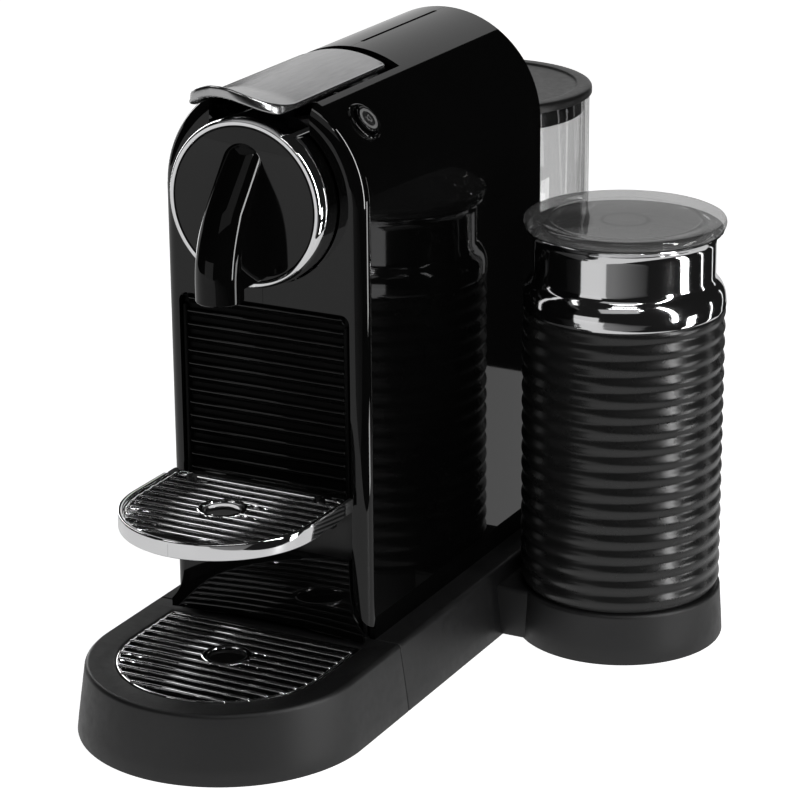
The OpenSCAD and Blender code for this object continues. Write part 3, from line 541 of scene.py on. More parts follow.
# ---------------------------------------------------------------- body
def body_solid(r, y0, y1, f, zb, n_arc=144, n_f=16):
    path = [((1, 0), (0, zb)), ((1, 0), (0, (zb + ARCH_Z) / 2)), ((1, 0), (0, ARCH_Z))]
    for i in range(1, n_arc):
        a = pi * i / n_arc
        path.append(((math.cos(a), math.sin(a)), (0, ARCH_Z)))
    path += [((-1, 0), (0, ARCH_Z)), ((-1, 0), (0, (zb + ARCH_Z) / 2)), ((-1, 0), (0, zb))]
    prof = [(r, y1), (r, (y1 + y0 + f) / 2)]
    for i in range(n_f + 1):
        a = pi / 2 * i / n_f
        prof.append((r - f + f * math.cos(a), y0 + f - f * math.sin(a)))
    m, n = len(path), len(prof)
    verts = []
    for (nx, nz), (bx, bz) in path:
        for rho, y in prof:
            verts.append((bx + nx * rho, y, bz + nz * rho))
    faces = []
    for i in range(m - 1):
        for j in range(n - 1):
            faces.append([i * n + j, (i + 1) * n + j, (i + 1) * n + j + 1, i * n + j + 1])
    faces.append([i * n + n - 1 for i in range(m)])
    faces.append([i * n for i in range(m)][::-1])
    faces.append(list(range(0, n)) + list(range((m - 1) * n, m * n))[::-1])
    return np.array(verts, float), faces


def body_normals(co, f=BODY_F, y0=BODY_Y0, r=BODY_R):
    x, y, z = co[:, 0], co[:, 1], co[:, 2]
    dz = np.maximum(z - ARCH_Z, 0)
    rho = np.sqrt(x * x + dz * dz)
    s = np.maximum(rho, 1e-6)
    rx, rz = np.where(dz > 0, x / s, np.sign(x)), dz / s
    q, t = rho - (r - f), (y0 + f) - y
    n = np.stack([rx, np.zeros_like(x), rz], 1)
    fil = (q > 1e-4) & (t > 1e-4)
    h = np.sqrt(q * q + t * t) + 1e-9
    n[fil] = np.stack([rx * q / h, -t / h, rz * q / h], 1)[fil]
    flat = (q <= 1e-4) & (t > 0)
    n[flat] = (0, -1, 0)
    return n


def smooth_curve(pts, n=6):
    """Points on a smooth curve through the given ones."""
    pts = [np.array(p, float) for p in pts]
    out = []
    for i in range(len(pts) - 1):
        p0 = pts[max(i - 1, 0)]; p1 = pts[i]; p2 = pts[i + 1]; p3 = pts[min(i + 2, len(pts) - 1)]
        for k in range(n):
            t = k / n
            out.append(tuple(0.5 * ((2 * p1) + (-p0 + p2) * t + (2 * p0 - 5 * p1 + 4 * p2 - p3) * t * t + (-p0 + 3 * p1 - 3 * p2 + p3) * t ** 3)))
    out.append(tuple(pts[-1]))
    return out


LOW_SIDE = [(49.3, 37.6), (48.4, 38.6), (46.8, 40.6), (45.4, 43), (44.2, 46), (43.2, 50), (42.5, 54.5), (42.1, 60), (42, 66)]
side_r = smooth_curve(LOW_SIDE, 5)
open_poly = ([(-60, 20), (60, 20), (60, 37.6)] + side_r + rounded([(42, 90), (42, 181), (-42, 181), (-42, 90)], [0, 4.2, 4.2, 0], 8)
             + [(-x, z) for x, z in side_r[::-1]] + [(-60, 37.6)])
outer = body_solid(BODY_R, BODY_Y0, BODY_Y1, BODY_F, 31.5)
inner = body_solid(BODY_R - 2.5, BODY_Y0 + 2.5, BODY_Y1 + 5, BODY_F - 2.5, 26)
ring_prof = [(0.0, -30), (38.0, -30), (38.0, 1.7), (38.15, 1.95), (38.45, 2.15), (38.9, 2.25), (38.9, 20), (0.0, 20)]
ring_cut = lathe(ring_prof, 160, turn=TO_Y)
ring_cut = (ring_cut[0] + np.array([0, 0, BREW_Z]), ring_cut[1])
slot_cut = box_mesh(-24.3, 24.3, -20, 79.5, 255, 300)
open_cut = prism(open_poly, -20, 4.6, "xz")
cuts = [inner, slot_cut, ring_cut, open_cut]
BTN_A, BTN_Y = 49.6, 22.0
for s in (-1, 1):
    v, f, _ = lathe([(0, 36), (6.75, 36), (6.75, 48.75), (7.0, 49.1), (7.6, 49.45), (7.6, 60), (0, 60)], 64)
    a = math.radians(s * BTN_A)
    R = np.array([[math.cos(a), 0, math.sin(a)], [0, 1, 0], [-math.sin(a), 0, math.cos(a)]])
    cuts.append((v @ R.T + np.array([0, BTN_Y, ARCH_Z]), f))
seam_poly = rounded([(-0.9, 90), (0.9, 90), (0.9, 163), (-0.9, 163)], 0.88, 6)
cuts.append(prism(seam_poly, 275.3, 290, "xy"))


def half_keep(s):
    return box_mesh(0.06, 60, -30, 200, 0, 300) if s > 0 else box_mesh(-60, -0.06, -30, 200, 0, 300)


whole = carve(outer, cut=cuts)
for s, nm in ((1, "right"), (-1, "left")):
    half = carve(whole, keep=[half_keep(s)])
    piece("body_shell_" + nm, half, "root", M["gloss"], ["shell_" + nm], angle=28, normals=body_normals)

# back cover with its air slots and four stepped screw holes
r_b = BODY_R - 2.7
arch = [(r_b, 31.7), (r_b, ARCH_Z)] + [(r_b * math.cos(pi * i / 96), ARCH_Z + r_b * math.sin(pi * i / 96)) for i in range(1, 96)] + [(-r_b, ARCH_Z), (-r_b, 31.7)]
bc = prism(arch, 170.4, 172.9, "xz", edge=0.5)
cuts = []
for i in range(8):
    z = 236.9 + 3.6 * i
    cuts.append(prism(rounded([(-22, z - 0.9), (22, z - 0.9), (22, z + 0.9), (-22, z + 0.9)], 0.85, 5), 160, 180, "xz"))
for x, z in ((-38, 45), (38, 45), (-38, 215), (38, 215)):
    v, f, _ = lathe([(0, -160), (1.7, -160), (1.7, -172.2), (3.9, -172.2), (3.9, -180), (0, -180)], 40, turn=TO_Y)
    cuts.append((v + np.array([x, 0, z]), f))
piece("rear_panel", carve(bc, cut=cuts), "root", M["inner"], ["back_cover"], angle=30)

# plate under the lever with the capsule slot
plate = box_mesh(-23.8, 23.8, 6, 56, 257.6, 260, 0.6, 3)
boss = prism(rounded([(-21, 8.3), (21, 8.3), (21, 33.6), (-21, 33.6)], 1.0, 4), 250.5, 258.2, "xy")
slot_hole = prism(rounded([(-19.4, 9), (19.4, 9), (19.4, 32), (-19.4, 32)], 3.0, 6), 240, 270, "xy")
flare = loft([ring_at(rounded([(-19.4 - d, 9 - d), (19.4 + d, 9 - d), (19.4 + d, 32 + d), (-19.4 - d, 32 + d)], 3.0 + d, 6), z) for d, z in ((0, 258.8), (0.3, 259.2), (0.9, 259.7), (1.9, 260.2), (1.9, 262))])
wings = [box_mesh(s * 27 - 9, s * 27 + 9, 40, 52, 253.4, 255.3, 0.4) for s in (-1, 1)]
bar = box_mesh(-23.8, 23.8, 48, 52, 253.4, 258, 0.3)
piece("capsule_chute", carve(plate, cut=[slot_hole, flare], add=[boss, bar] + wings), "root", M["gloss_inner"], ["top_insert"], angle=30)

# ---------------------------------------------------------------- brew unit front
FY = 16.6   # distance of the round face in front of y = 0
rp = ([(33.95, -4.0), (33.95, FY - 0.35)] + [(33.95 + 0.4 * (1 - math.cos(t)), FY - 0.35 + 0.5 * math.sin(t)) for t in np.linspace(0.3, pi / 2, 5)]
      + [(35.5, FY + 0.13)]
      + smooth_curve([(35.55, FY + 0.12), (35.95, FY - 0.12), (36.4, FY - 0.75), (36.8, FY - 1.65), (37.12, FY - 2.75), (37.38, FY - 4.1), (37.5, FY - 5.6)], 3)
      + [(37.5, -4.0)])
v, f, _ = lathe(rp, 480, turn=TO_Y)
piece("trim_ring", (v + np.array([0, 0, BREW_Z]), f), "root", M["chrome"], ["brew_ring"], angle=40)
fp = [(0, FY - 4.4), (33.6, FY - 4.4)] + arc(33.2, FY - 0.4, 0.4, 0, 90, 5) + [(0, FY)]
v, f, _ = lathe(fp, 224, turn=TO_Y)
piece("round_face", (v + np.array([0, 0, BREW_Z]), f), "root", M["gloss"], ["brew_face"], angle=40)


# spout: half-round nose in front of flat side walls, bent through 40 degrees, with a domed top
SP_R, SP_SW, SP_YC, SP_ZC, SP_B = 10.9, 39.1, 1.4, 200.0, math.radians(40)
SP_EY, SP_EZ = -11.5, 245.4


def sp_k(z):
    t = min(max((z - 200.0) / 44.0, 0.0), 1.0)
    return 0.94 + 0.06 * t * t * (3 - 2 * t)


def spout():
    r, sw, yc, zc = SP_R, SP_SW, SP_YC, SP_ZC
    sb, cb = math.sin(SP_B), math.cos(SP_B)
    nst = 48

    def front(z, rho):
        if z <= zc:
            return yc - sw - rho
        if z - zc <= (sw + rho) * sb:
            return yc - math.sqrt((sw + rho) ** 2 - (z - zc) ** 2)
        if z <= SP_EZ + rho * sb:
            return yc - (sw + rho) * cb + (z - zc - (sw + rho) * sb) * sb / cb
        return SP_EY - math.sqrt(max(rho ** 2 - (z - SP_EZ) ** 2, 0.0))

    def section(z, inset=0.0):
        k = sp_k(z)
        w = r if z <= SP_EZ else math.sqrt(max(r * r - (z - SP_EZ) ** 2, 0.01))
        pts = []
        for i in range(nst + 1):
            x = w * math.cos(pi * i / nst)
            rho = math.sqrt(max(r * r - x * x, 0.0))
            y = front(z, rho)
            pts.append([x * k * (r - inset) / r, min(y + inset + (1 - k) * max(0.0, yc - sw - y if z < zc else rho), -8.4), z])
        x = (r - inset) * w / r * k
        return pts + [[-x, -8.2, z], [-x + min(0.25, x / 2), -8.0, z], [x - min(0.25, x / 2), -8.0, z], [x, -8.2, z]]
    secs = [section(z, d) for d, z in ((0.9, 197.5), (0.45, 197.62), (0.13, 197.95), (0.0, 198.4))]
    secs += [section(z) for z in np.linspace(200, 245.4, 56)]
    secs += [section(SP_EZ + r * math.sin(t)) for t in np.linspace(0.05, 1.5, 30)]
    slab = loft(secs)
    slab = carve(slab, cut=[box_mesh(-40, 40, -FY + 0.02, 60, 150, 300)])
    bore = lathe([(0, 180), (8.5, 192.3), (7.4, 196.4), (4.6, 196.6), (4.5, 203), (0, 203)], 96)
    bore = (bore[0] + np.array([0, yc - sw, 0]), bore[1])
    rn = r * sp_k(200)
    cyl = lathe([(0, 201), (rn, 201), (rn, 193)] + arc(rn - 1.0, 193.0, 1.0, 0, -90, 5) + [(0, 192.0)], 160)
    cyl = (cyl[0] + np.array([0, yc - sw, 0]), cyl[1])
    return carve(slab, add=[cyl], cut=[bore])


def spout_normals(co):
    x, y, z = co[:, 0], co[:, 1], co[:, 2]
    dy, dz = y - SP_YC, z - SP_ZC
    ang = np.arctan2(np.maximum(dz, 0), -dy)
    ang = np.clip(np.where(dz > 0, ang, 0), 0, SP_B)
    cy, cz = SP_YC - SP_SW * np.cos(ang), SP_ZC + SP_SW * np.sin(ang)
    nf = np.stack([np.zeros_like(x), -np.cos(ang), np.sin(ang)], 1)
    rel = np.stack([x, y - cy, z - cz], 1)
    along = (rel * nf).sum(1)
    out = np.stack([np.sign(x), np.zeros_like(x), np.zeros_like(x)], 1)
    nose = along > 0
    v = np.stack([x, np.zeros_like(x), np.zeros_like(x)], 1) + nf * along[:, None]
    v /= np.maximum(np.linalg.norm(v, axis=1), 1e-6)[:, None]
    out[nose] = v[nose]
    e = np.stack([x, y - SP_EY, z - SP_EZ], 1)
    dome = (e[:, 1] * math.sin(SP_B) + e[:, 2] * math.cos(SP_B)) > 0
    e /= np.maximum(np.linalg.norm(e, axis=1), 1e-6)[:, None]
    out[dome] = e[dome]
    return out


piece("coffee_spout", spout(), "root", M["spout"], ["spout"], angle=30, normals=spout_normals)


# buttons
def button(s, name, node, slot_name, big):
    a = math.radians(s * BTN_A)
    R = np.array([[math.cos(a), 0, math.sin(a)], [0, 1, 0], [-math.sin(a), 0, math.cos(a)]])
    prof = ([(0, 44.2), (7.4, 44.2), (7.4, 45.3), (6.2, 45.5)] + [(6.2, 51.2)] + arc(5.5, 51.35, 0.7, 0, 90, 6)
            + [(5.2, 52.02), (5.06, 51.95), (4.98, 51.99), (4.88, 52.0), (4.75, 52.01)]
            + [(3.75, 52.02), (3.68, 51.88), (3.55, 51.88), (2.0, 52.0), (0, 52.04)])
    v, f, seg = lathe(prof, 96)
    n = len(prof)
    mi = []
    for q in seg:
        if q >= n - 4:
            mi.append(1)
        elif q >= n - 9:
            mi.append(2)
        else:
            mi.append(0)
    parts = [(v, f, mi)]
    k = 1.0 if big else 0.78
    # cup: a bowl outline with a handle and a line below
    def bar(pts, w):
        path = np.array(pts, float)
        L, Rr = [], []
        for i in range(len(path)):
            d = path[min(i + 1, len(path) - 1)] - path[max(i - 1, 0)]
            d /= np.linalg.norm(d)
            nn = np.array([-d[1], d[0]])
            L.append(path[i] + nn * w / 2); Rr.append(path[i] - nn * w / 2)
        poly = [tuple(p) for p in L] + [tuple(p) for p in Rr[::-1]]
        return prism(poly, 51.9, 52.13, "xy")
    bowl = [(-1.35 * k, 1.0 * k)] + [(-1.3 * k * math.cos(t), 0.9 * k - 1.75 * k * math.sin(t) ** 0.8) for t in np.linspace(0.15, pi - 0.15, 14)] + [(1.35 * k, 1.0 * k)]
    parts.append(bar(bowl, 0.28) + (2,))
    parts.append(bar([(-1.5 * k, 1.05 * k), (1.5 * k, 1.05 * k)], 0.28) + (2,))
    parts.append(bar([(1.25 * k + 0.55 * k * math.cos(t), 0.25 * k + 0.5 * k * math.sin(t)) for t in np.linspace(-1.5, 1.5, 10)], 0.24) + (2,))
    parts.append(bar([(-1.2 * k, -1.35 * k), (1.2 * k, -1.35 * k)], 0.28) + (2,))
    v, f, m = join(*parts)
    # in the machine the icon stands upright for a reader in front
    v = v @ R.T + np.array([0, BTN_Y, ARCH_Z])
    piece(name, (v, f, m), node, [M["gloss"], M["icon_dark"], M["grey_print"]], [slot_name], angle=35)


def bezel(s):
    a = math.radians(s * BTN_A)
    R = np.array([[math.cos(a), 0, math.sin(a)], [0, 1, 0], [-math.sin(a), 0, math.cos(a)]])
    prof = [(6.95, 47.6), (6.95, 49.9)] + smooth_curve([(6.98, 50.1), (7.25, 50.42), (7.8, 50.52), (8.4, 50.35), (8.85, 49.9), (9.05, 49.3), (9.1, 48.6)], 3) + [(9.1, 47.6)]
    prof = prof + [prof[0]]
    v, f, _ = lathe(prof, 128)
    piece("button_bezel_" + ("right" if s > 0 else "left"), (v @ R.T + np.array([0, BTN_Y, ARCH_Z]), f), "root", M["gloss"], [], angle=40)


bezel(1)
bezel(-1)
button(1, "button_lungo", "lungo_key", "lungo_button", True)
button(-1, "button_espresso", "espresso_key", "espresso_button", False)


# ---------------------------------------------------------------- lever
def lever():
    nu, nv = 72, 76
    flare_t = [(-40, 8.6), (-37, 7.6), (-36, 6.95), (-35.5, 6.6), (-35, 6.2), (-34, 5.5), (-32, 4.5), (-30, 3.8), (-28, 3.3), (-26, 2.92), (-24, 2.6), (-22, 2.28),
               (-20, 1.93), (-18, 1.57), (-16, 1.2), (-14, 0.84), (-12, 0.52), (-10, 0.25), (-8, 0.07), (-6, 0), (90, 0)]
    fx, fy = [a for a, _ in flare_t], [b for _, b in flare_t]
    rc, xc, yc = 18.55, 1.6, -17.0

    def yf(x):
        return yc - math.sqrt(max(rc ** 2 - max(abs(x) - xc, 0.0) ** 2, 0.0))
    top, bot = [], []
    for j in range(nv + 1):
        rt, rb_ = [], []
        for i in range(nu + 1):
            x = 20.15 * math.sin(pi / 2 * (-1 + 2 * i / nu))
            y0, y1 = yf(x), 73 - 1.3 - 1.2 * max(0.0, (abs(x) - 18) / 2.15) ** 2.2
            y = y0 + (y1 - y0) * (j / nv) ** 1.6
            # the lip thickens towards its rounded front edge
            d = rc - math.hypot(max(abs(x) - xc, 0.0), min(y - yc, 0.0))
            k = min(max((-y - 8.0) / 14.0, 0.0), 1.0)
            th = 2.6 + 1.7 * math.exp(-(max(d, 0.0) / 4.0) ** 2) * k * k * (3 - 2 * k)
            ro = BODY_R + float(np.interp(y, fx, fy))

            def pt(rho):
                return (x, y, ARCH_Z + math.sqrt(max(rho * rho - x * x, 0)))
            rt.append(pt(ro)); rb_.append(pt(ro - th))
        top.append(rt); bot.append(rb_)
    top, bot = np.array(top), np.array(bot)
    J, I = nv + 1, nu + 1
    loop = [(0, i) for i in range(I)] + [(j, I - 1) for j in range(1, J)] + [(J - 1, i) for i in range(I - 2, -1, -1)] + [(j, 0) for j in range(J - 2, 0, -1)]
    verts = [tuple(p) for p in top.reshape(-1, 3)] + [tuple(p) for p in bot.reshape(-1, 3)]
    off = J * I
    faces = []
    for j in range(J - 1):
        for i in range(I - 1):
            q = [j * I + i, j * I + i + 1, (j + 1) * I + i + 1, (j + 1) * I + i]
            faces.append(q)
            faces.append([off + k for k in q[::-1]])
    # rounded rim
    n = len(loop)
    T = np.array([top[a] for a in loop]); B = np.array([bot[a] for a in loop])
    tan = np.roll(T, -1, 0) - np.roll(T, 1, 0)
    up = T - B
    out = np.cross(tan, up)
    out /= np.linalg.norm(out, axis=1)[:, None]
    cen = np.array([0, 30, 260])
    if (out * (T - cen)).sum() < 0:
        out = -out
    # even out the directions at the corners
    for _ in range(3):
        out = out + 0.5 * (np.roll(out, 1, 0) + np.roll(out, -1, 0))
        out /= np.linalg.norm(out, axis=1)[:, None]
    C, H = (T + B) / 2, (T - B) / 2
    hl = np.linalg.norm(H, axis=1)[:, None]
    prev = [a * I + b for a, b in loop]
    steps = 13
    for k in range(1, steps):
        a = pi * k / steps
        ca, sa = math.copysign(abs(math.cos(a)) ** 0.55, math.cos(a)), math.sin(a) ** 0.55
        ringp = C + H * ca + out * np.minimum(hl, 1.45) * sa
        base = len(verts)
        verts += [tuple(p) for p in ringp]
        cur = list(range(base, base + n))
        for i in range(n):
            q = (i + 1) % n
            faces.append([prev[i], cur[i], cur[q], prev[q]])
        prev = cur
    cur = [off + a * I + b for a, b in loop]
    for i in range(n):
        q = (i + 1) % n
        faces.append([prev[i], cur[i], cur[q], prev[q]])
    return np.array(verts), faces


piece("lever_top", lever(), "lever", M["lever"], ["lever_plate"], angle=60)


# ---------------------------------------------------------------- base
def rb(z):
    return 66.06 - 4.46 * z / 31.5


BASE_PROF = ([(rb(0.3) - 0.7, 0.3), (rb(0.3) - 0.32, 0.42), (rb(0.9) - 0.1, 0.9), (rb(8), 8.0), (rb(16), 16.0), (rb(24), 24.0)]
             + [(rb(29.3) - 2.2 + 2.2 * math.cos(t), 29.3 + 2.2 * math.sin(t)) for t in np.linspace(0.09, pi / 2, 9)])


def base_rings(yc, y1, prof, d=0.0, n=160):
    """Rings of the drafted half round form; the flat end leans in with the top fillet."""
    rings = []
    for r, z in prof:
        e = max(0.0, z - 29.3)
        lean = 0.55 * (1 - math.sqrt(max(0.0, 1 - (e / 2.2) ** 2))) if e > 0 else 0.0
        rings.append(ring_at(dform(r - d, yc, y1 - lean, 0.5, n=n), z))
    return rings


def flip_y(part):
    return (np.array(part[0], float) * np.array([1, -1, 1]), [f[::-1] for f in part[1]]) + tuple(part[2:])


def rod(r, h0, h1, axis="z", at=(0, 0, 0), segs=64, edge=0.0):
    """Turned rod with softly broken ends."""
    if edge:
        prof = [(0, h0), (r - edge, h0), (r - 0.29 * edge, h0 + 0.29 * edge), (r, h0 + edge),
                (r, h1 - edge), (r - 0.29 * edge, h1 - 0.29 * edge), (r - edge, h1), (0, h1)]
    else:
        prof = [(0, h0), (r, h0), (r, h1), (0, h1)]
    v, f, _ = lathe(prof, segs)
    if axis == "y":
        v = v[:, [0, 2, 1]]
    elif axis == "x":
        v = v[:, [2, 0, 1]]
    return v + np.array(at, float), f


TANK_Y = 208.0
outer_b = flip_y(loft(base_rings(-200.5, -4.6, BASE_PROF)))
inner_prof = [(rb(1) - 2.5, -1.0), (rb(15) - 2.5, 15.0), (rb(28.7) - 3.2, 27.6), (rb(28.7) - 4.2, 28.7)]
inner_b = flip_y(loft([ring_at(dform(r, -200.5, -7.1, 1.0, n=160), z) for r, z in inner_prof]))
base_cut = [inner_b, rod(12.1, 21, 40, at=(0, TANK_Y, 0)), rod(4.2, 10, 40, at=(-24, 148, 0)), rod(5.5, 235, 275, "y", (-25, 0, 15))]
piece("base_housing", carve(outer_b, cut=base_cut), "root", M["base"], ["rear_base"], angle=30)

outer_f = loft(base_rings(-39.5, 4.2, BASE_PROF))
inner_f = loft([ring_at(dform(r, -39.5, 1.7, 1.0, n=160), z) for r, z in inner_prof])
well = loft([ring_at(dform(48.0 + d, -40.3, -6.5 + d, 1.2, n=160), z)
             for d, z in ((0, 10), (0, 30.4), (0.08, 30.75), (0.3, 31.1), (0.65, 31.35), (1.2, 31.52), (1.2, 40))])
piece("drip_tray_top", carve(outer_f, cut=[inner_f, well]), "drip_tray", M["base"], ["drip_tray_cover"], angle=30)

tub_o = loft([ring_at(dform(47.9 - d, -40.3, -6.6 - d, 1.2), z) for d, z in ((1.2, 4.0), (0.35, 4.35), (0, 5.2), (0, 27.5), (0, 28.8))])
tub_f = loft([ring_at(dform(51.6 - d, -40.3, -3.0 - d, 1.2), z) for d, z in ((0.3, 26.6), (0, 26.9), (0, 28.5), (0.3, 28.8))])
tub_i = loft([ring_at(dform(45.7 - d, -40.3, -8.8 - d, 1.2), z) for d, z in ((3.0, 6.0), (1.2, 6.4), (0.3, 7.3), (0, 9.0), (0, 40.0))])
piece("drip_tub_tray", carve(tub_o, add=[tub_f], cut=[tub_i]), "drip_tray", M["inner"], ["drip_tub"], angle=30)


# ---------------------------------------------------------------- grids
def rib_bar(x0, x1, y, z0, z1, w, round0, round1, fillet=2.0):
    """A rib along x with a round top; its free ends bend down over the frame."""
    sec = [(-w / 2, 0.0), (w / 2, 0.0)]
    top = [(w / 2 * math.cos(t), w / 2 * math.sin(t)) for t in np.linspace(0, pi, 9)]
    H = z1 - z0
    xs = []
    if round0:
        xs += [(x0 + fillet * (1 - math.cos(t)), fillet * (1 - math.sin(t))) for t in np.linspace(0.12, pi / 2, 7)]
    else:
        xs += [(x0, 0.0)]
    if round1:
        xs += [(x1 - fillet * (1 - math.cos(t)), fillet * (1 - math.sin(t))) for t in np.linspace(pi / 2, 0.12, 7)]
    else:
        xs += [(x1, 0.0)]
    rings = []
    for x, drop in xs:
        h = H - drop
        base = h - w / 2 * 0.62
        pts = [(x, y + a, z0 + b) for a, b in sec]
        pts += [(x, y + a, z0 + base + b * 0.62) for a, b in top]
        rings.append(pts)
    return loft(rings)


def tray_grid(r, z0, z1, yc, y1, pitch, w, notch=None):
    """Frame, ribs and the ring round the drip hole, each a closed form."""
    hy, parts = -40.2, []
    zf = z1 - 1.0
    prof_d = [(0.3, z0), (0.05, z0 + 0.15), (0, z0 + 0.4), (0, zf - 0.5), (0.12, zf - 0.15), (0.45, zf), (1.1, zf), (1.42, zf - 0.15), (1.5, zf - 0.5), (1.5, z0 + 0.2), (1.3, z0)]
    rim = loft([ring_at(dform(r - d, yc, y1 - d, 1.2 if d < 0.9 else 0.7, n=160), z) for d, z in prof_d], close=True)
    if notch:
        rim = carve(rim, cut=[box_mesh(s * 32 - notch, s * 32 + notch, -13.5, 5, z0 - 3, z1 + 3) for s in (-1, 1)])
    parts.append((rim[0], rim[1]))
    n = int((y1 - yc + r - 3) / pitch)
    for i in range(1, n + 1):
        y = y1 - i * pitch
        d = max(0.0, yc - y)
        full = math.sqrt(max(r * r - d * d, 0)) - 0.35
        if full < 4:
            continue
        spans = [(-full, full, True, True)]
        if abs(y - hy) < 10.2:
            q = math.sqrt(10.4 ** 2 - (y - hy) ** 2)
            spans = [(-full, -q, True, False), (q, full, False, True)]
        if notch and y > -13.5 - 0.9:
            spans = [(-full, -32 - notch, True, False), (-32 + notch, 32 - notch, False, False), (32 + notch, full, False, True)]
        for a, b, e0, e1 in spans:
            parts.append(rib_bar(a, b, y, z0, z1, w, e0, e1))
    ring = lathe([(8.6, z0 + 0.3), (8.8, z0), (10.8, z0), (11.0, z0 + 0.3), (11.0, z1 - 0.75), (10.88, z1 - 0.3), (10.45, z1 - 0.05), (9.9, z1), (9.3, z1 - 0.03), (8.8, z1 - 0.28), (8.6, z1 - 0.8)], 96)
    parts.append((ring[0] + np.array([0, hy, 0]), ring[1]))
    return join(*parts)


piece("drip_grid_bars", tray_grid(47.6, 29.4, 32.4, -40.3, -6.9, 6.2, 1.8), "grid", M["chrome"], ["drip_grid"], angle=40)
piece("cup_grid_bars", tray_grid(42.5, 97.2, 100.6, -40.1, -5.5, 6.2, 1.7, notch=2.7), "cup_tray", M["chrome"], ["cup_tray_grid"], angle=40)


def band():
    """Rounded strip bent round the tray, with round ends."""
    ro, th, zc, hh, yc, ye = 44.8, 2.2, 97.35, 3.75, -40.1, -16.0
    stations = []
    for t in np.linspace(1.0, 0.0, 12):
        a = math.asin(min(1, t * 0.995))
        stations.append(((1, 0), (0, ye + hh * math.sin(a)), hh * math.cos(a)))
    stations.append(((1, 0), (0, (ye + yc) / 2), hh))
    for i in range(121):
        a = -pi * i / 120
        stations.append(((math.cos(a), math.sin(a)), (0, yc), hh))
    stations.append(((-1, 0), (0, (ye + yc) / 2), hh))
    for t in np.linspace(0.0, 1.0, 12):
        a = math.asin(min(1, t * 0.995))
        stations.append(((-1, 0), (0, ye + hh * math.sin(a)), hh * math.cos(a)))
    rings = []
    for (nx, ny), (bx, by), h in stations:
        c = min(0.75, h * 0.8)
        sec = rounded([(ro - th, -h), (ro, -h), (ro, h), (ro - th, h)], c, 6)
        rings.append([(bx + nx * q, by + ny * q, zc + k) for q, k in sec])
    b = loft(rings)
    return carve(b, cut=[prism(rounded([(-0.45, 92), (0.45, 92), (0.45, 99.6), (-0.45, 99.6)], [0, 0, 0.44, 0.44], 5), -90, -84.45, "xz")])


piece("cup_tray_rim", band(), "cup_tray", M["chrome"], ["cup_tray_band"], angle=34)

pan = loft([ring_at(dform(42.5 - d, -40.1, -5.5 - d, 1.2, n=128), z) for d, z in ((0.6, 93.9), (0.15, 94.05), (0, 94.5), (0, 95.9), (0.3, 96.2))])
cheeks = [box_mesh(s * 43.7 - 1.1, s * 43.7 + 1.1, -12.2, -5.5, 94.4, 100.3, 0.5) for s in (-1, 1)]
lugbar = box_mesh(-42.5, 42.5, -12.4, -5.5, 93.95, 97.15, 0.3)
pan_cut = [rod(8.6, 80, 110, at=(0, -40.2, 0)), rod(1.5, -38.1, 38.1, "x", (0, -9, 95.6))]
pan_cut += [box_mesh(s * 32 - 2.7, s * 32 + 2.7, -13.5, 5, 80, 110) for s in (-1, 1)]
piece("cup_tray_floor", carve(pan, add=cheeks + [lugbar], cut=pan_cut), "cup_tray", M["inner"], ["cup_tray_pan"], angle=30)


# ---------------------------------------------------------------- capsule unit
cc_o = prism(rounded([(-40, 2.2), (40, 2.2), (40, 118), (-40, 118)], [0.3, 0.3, 4, 4], 6), 34, 180, "xy", edge=0.7)
cc_i = prism(rounded([(-38, 4.4), (38, 4.4), (38, 116), (-38, 116)], [1.0, 1.0, 3, 3], 6), 36, 190, "xy")
piece("capsule_bin", carve(cc_o, cut=[cc_i]), "capsule_unit", M["inner"], ["capsule_container"], angle=30)


def grille():
    parts = []
    corner = rounded([(-40.6, 96), (40.6, 96), (40.6, 180.2), (-40.6, 180.2)], [0.5, 0.5, 3.8, 3.8], 8)
    parts.append(tuple(prism(corner, 0.4, 2.2, "xz", edge=0.25)[:2]) + (1,))
    for i in range(14):
        z = 178.8 - 6.0 * i
        sec = [(0.6, 0.75)] + smooth_curve([(-0.6, 0.55), (-1.35, 0.36), (-1.78, 0.12), (-1.9, -0.2), (-1.78, -0.52), (-1.35, -0.86), (-0.7, -1.55), (0.0, -2.75)], 3) + [(0.6, -3.4)]
        xr = 39.2 if i else 38.4
        rings = []
        for x, k in ((-xr, 0.35), (-xr + 0.35, 0.7), (-xr + 1.0, 0.93), (-xr + 1.8, 1.0), (xr - 1.8, 1.0), (xr - 1.0, 0.93), (xr - 0.35, 0.7), (xr, 0.35)):
            rings.append([(x, 0.6 + (a - 0.6) * k, z + b) for a, b in sec])
        parts.append(tuple(loft(rings)[:2]) + (0,))
    for s in (-1, 1):
        parts.append(tuple(box_mesh(s * 39.75 - 0.85, s * 39.75 + 0.85, -1.6, 0.5, 97, 175.5, 0.5, 3)[:2]) + (1,))
    return join(*parts)


piece("grille_slats", grille(), "capsule_unit", [M["gloss"], M["deep"]], ["grille_front"], angle=34)

LOW_PANEL = [(48.6, 36.9), (47.7, 38.0), (46.2, 39.9), (44.8, 42.3), (43.6, 45.4), (42.6, 49.6), (41.9, 54.2), (41.5, 59.8), (41.2, 66.0)]
lp = smooth_curve(LOW_PANEL, 5)
panel_poly = [(-48.6, 33.2), (48.6, 33.2)] + lp + [(41.2, 70.4), (-41.2, 70.4)] + [(-x, z) for x, z in lp[::-1]]
front_plate = prism(panel_poly, -6.2, -3.2, "xz", edge=0.45)
panel_back = box_mesh(-40, 40, -3.4, 2.2, 34, 68, 0.3)
# the front of the plate is gently hollow across its width
hollow = prism([(x, -2.7 - x * x / 880) for x in np.linspace(-60, 60, 121)] + [(60, -60), (-60, -60)], 20, 80, "xy")
piece("splash_plate", carve(front_plate, add=[panel_back], cut=[hollow]), "capsule_unit", M["gloss"], ["splash_panel"], angle=30)

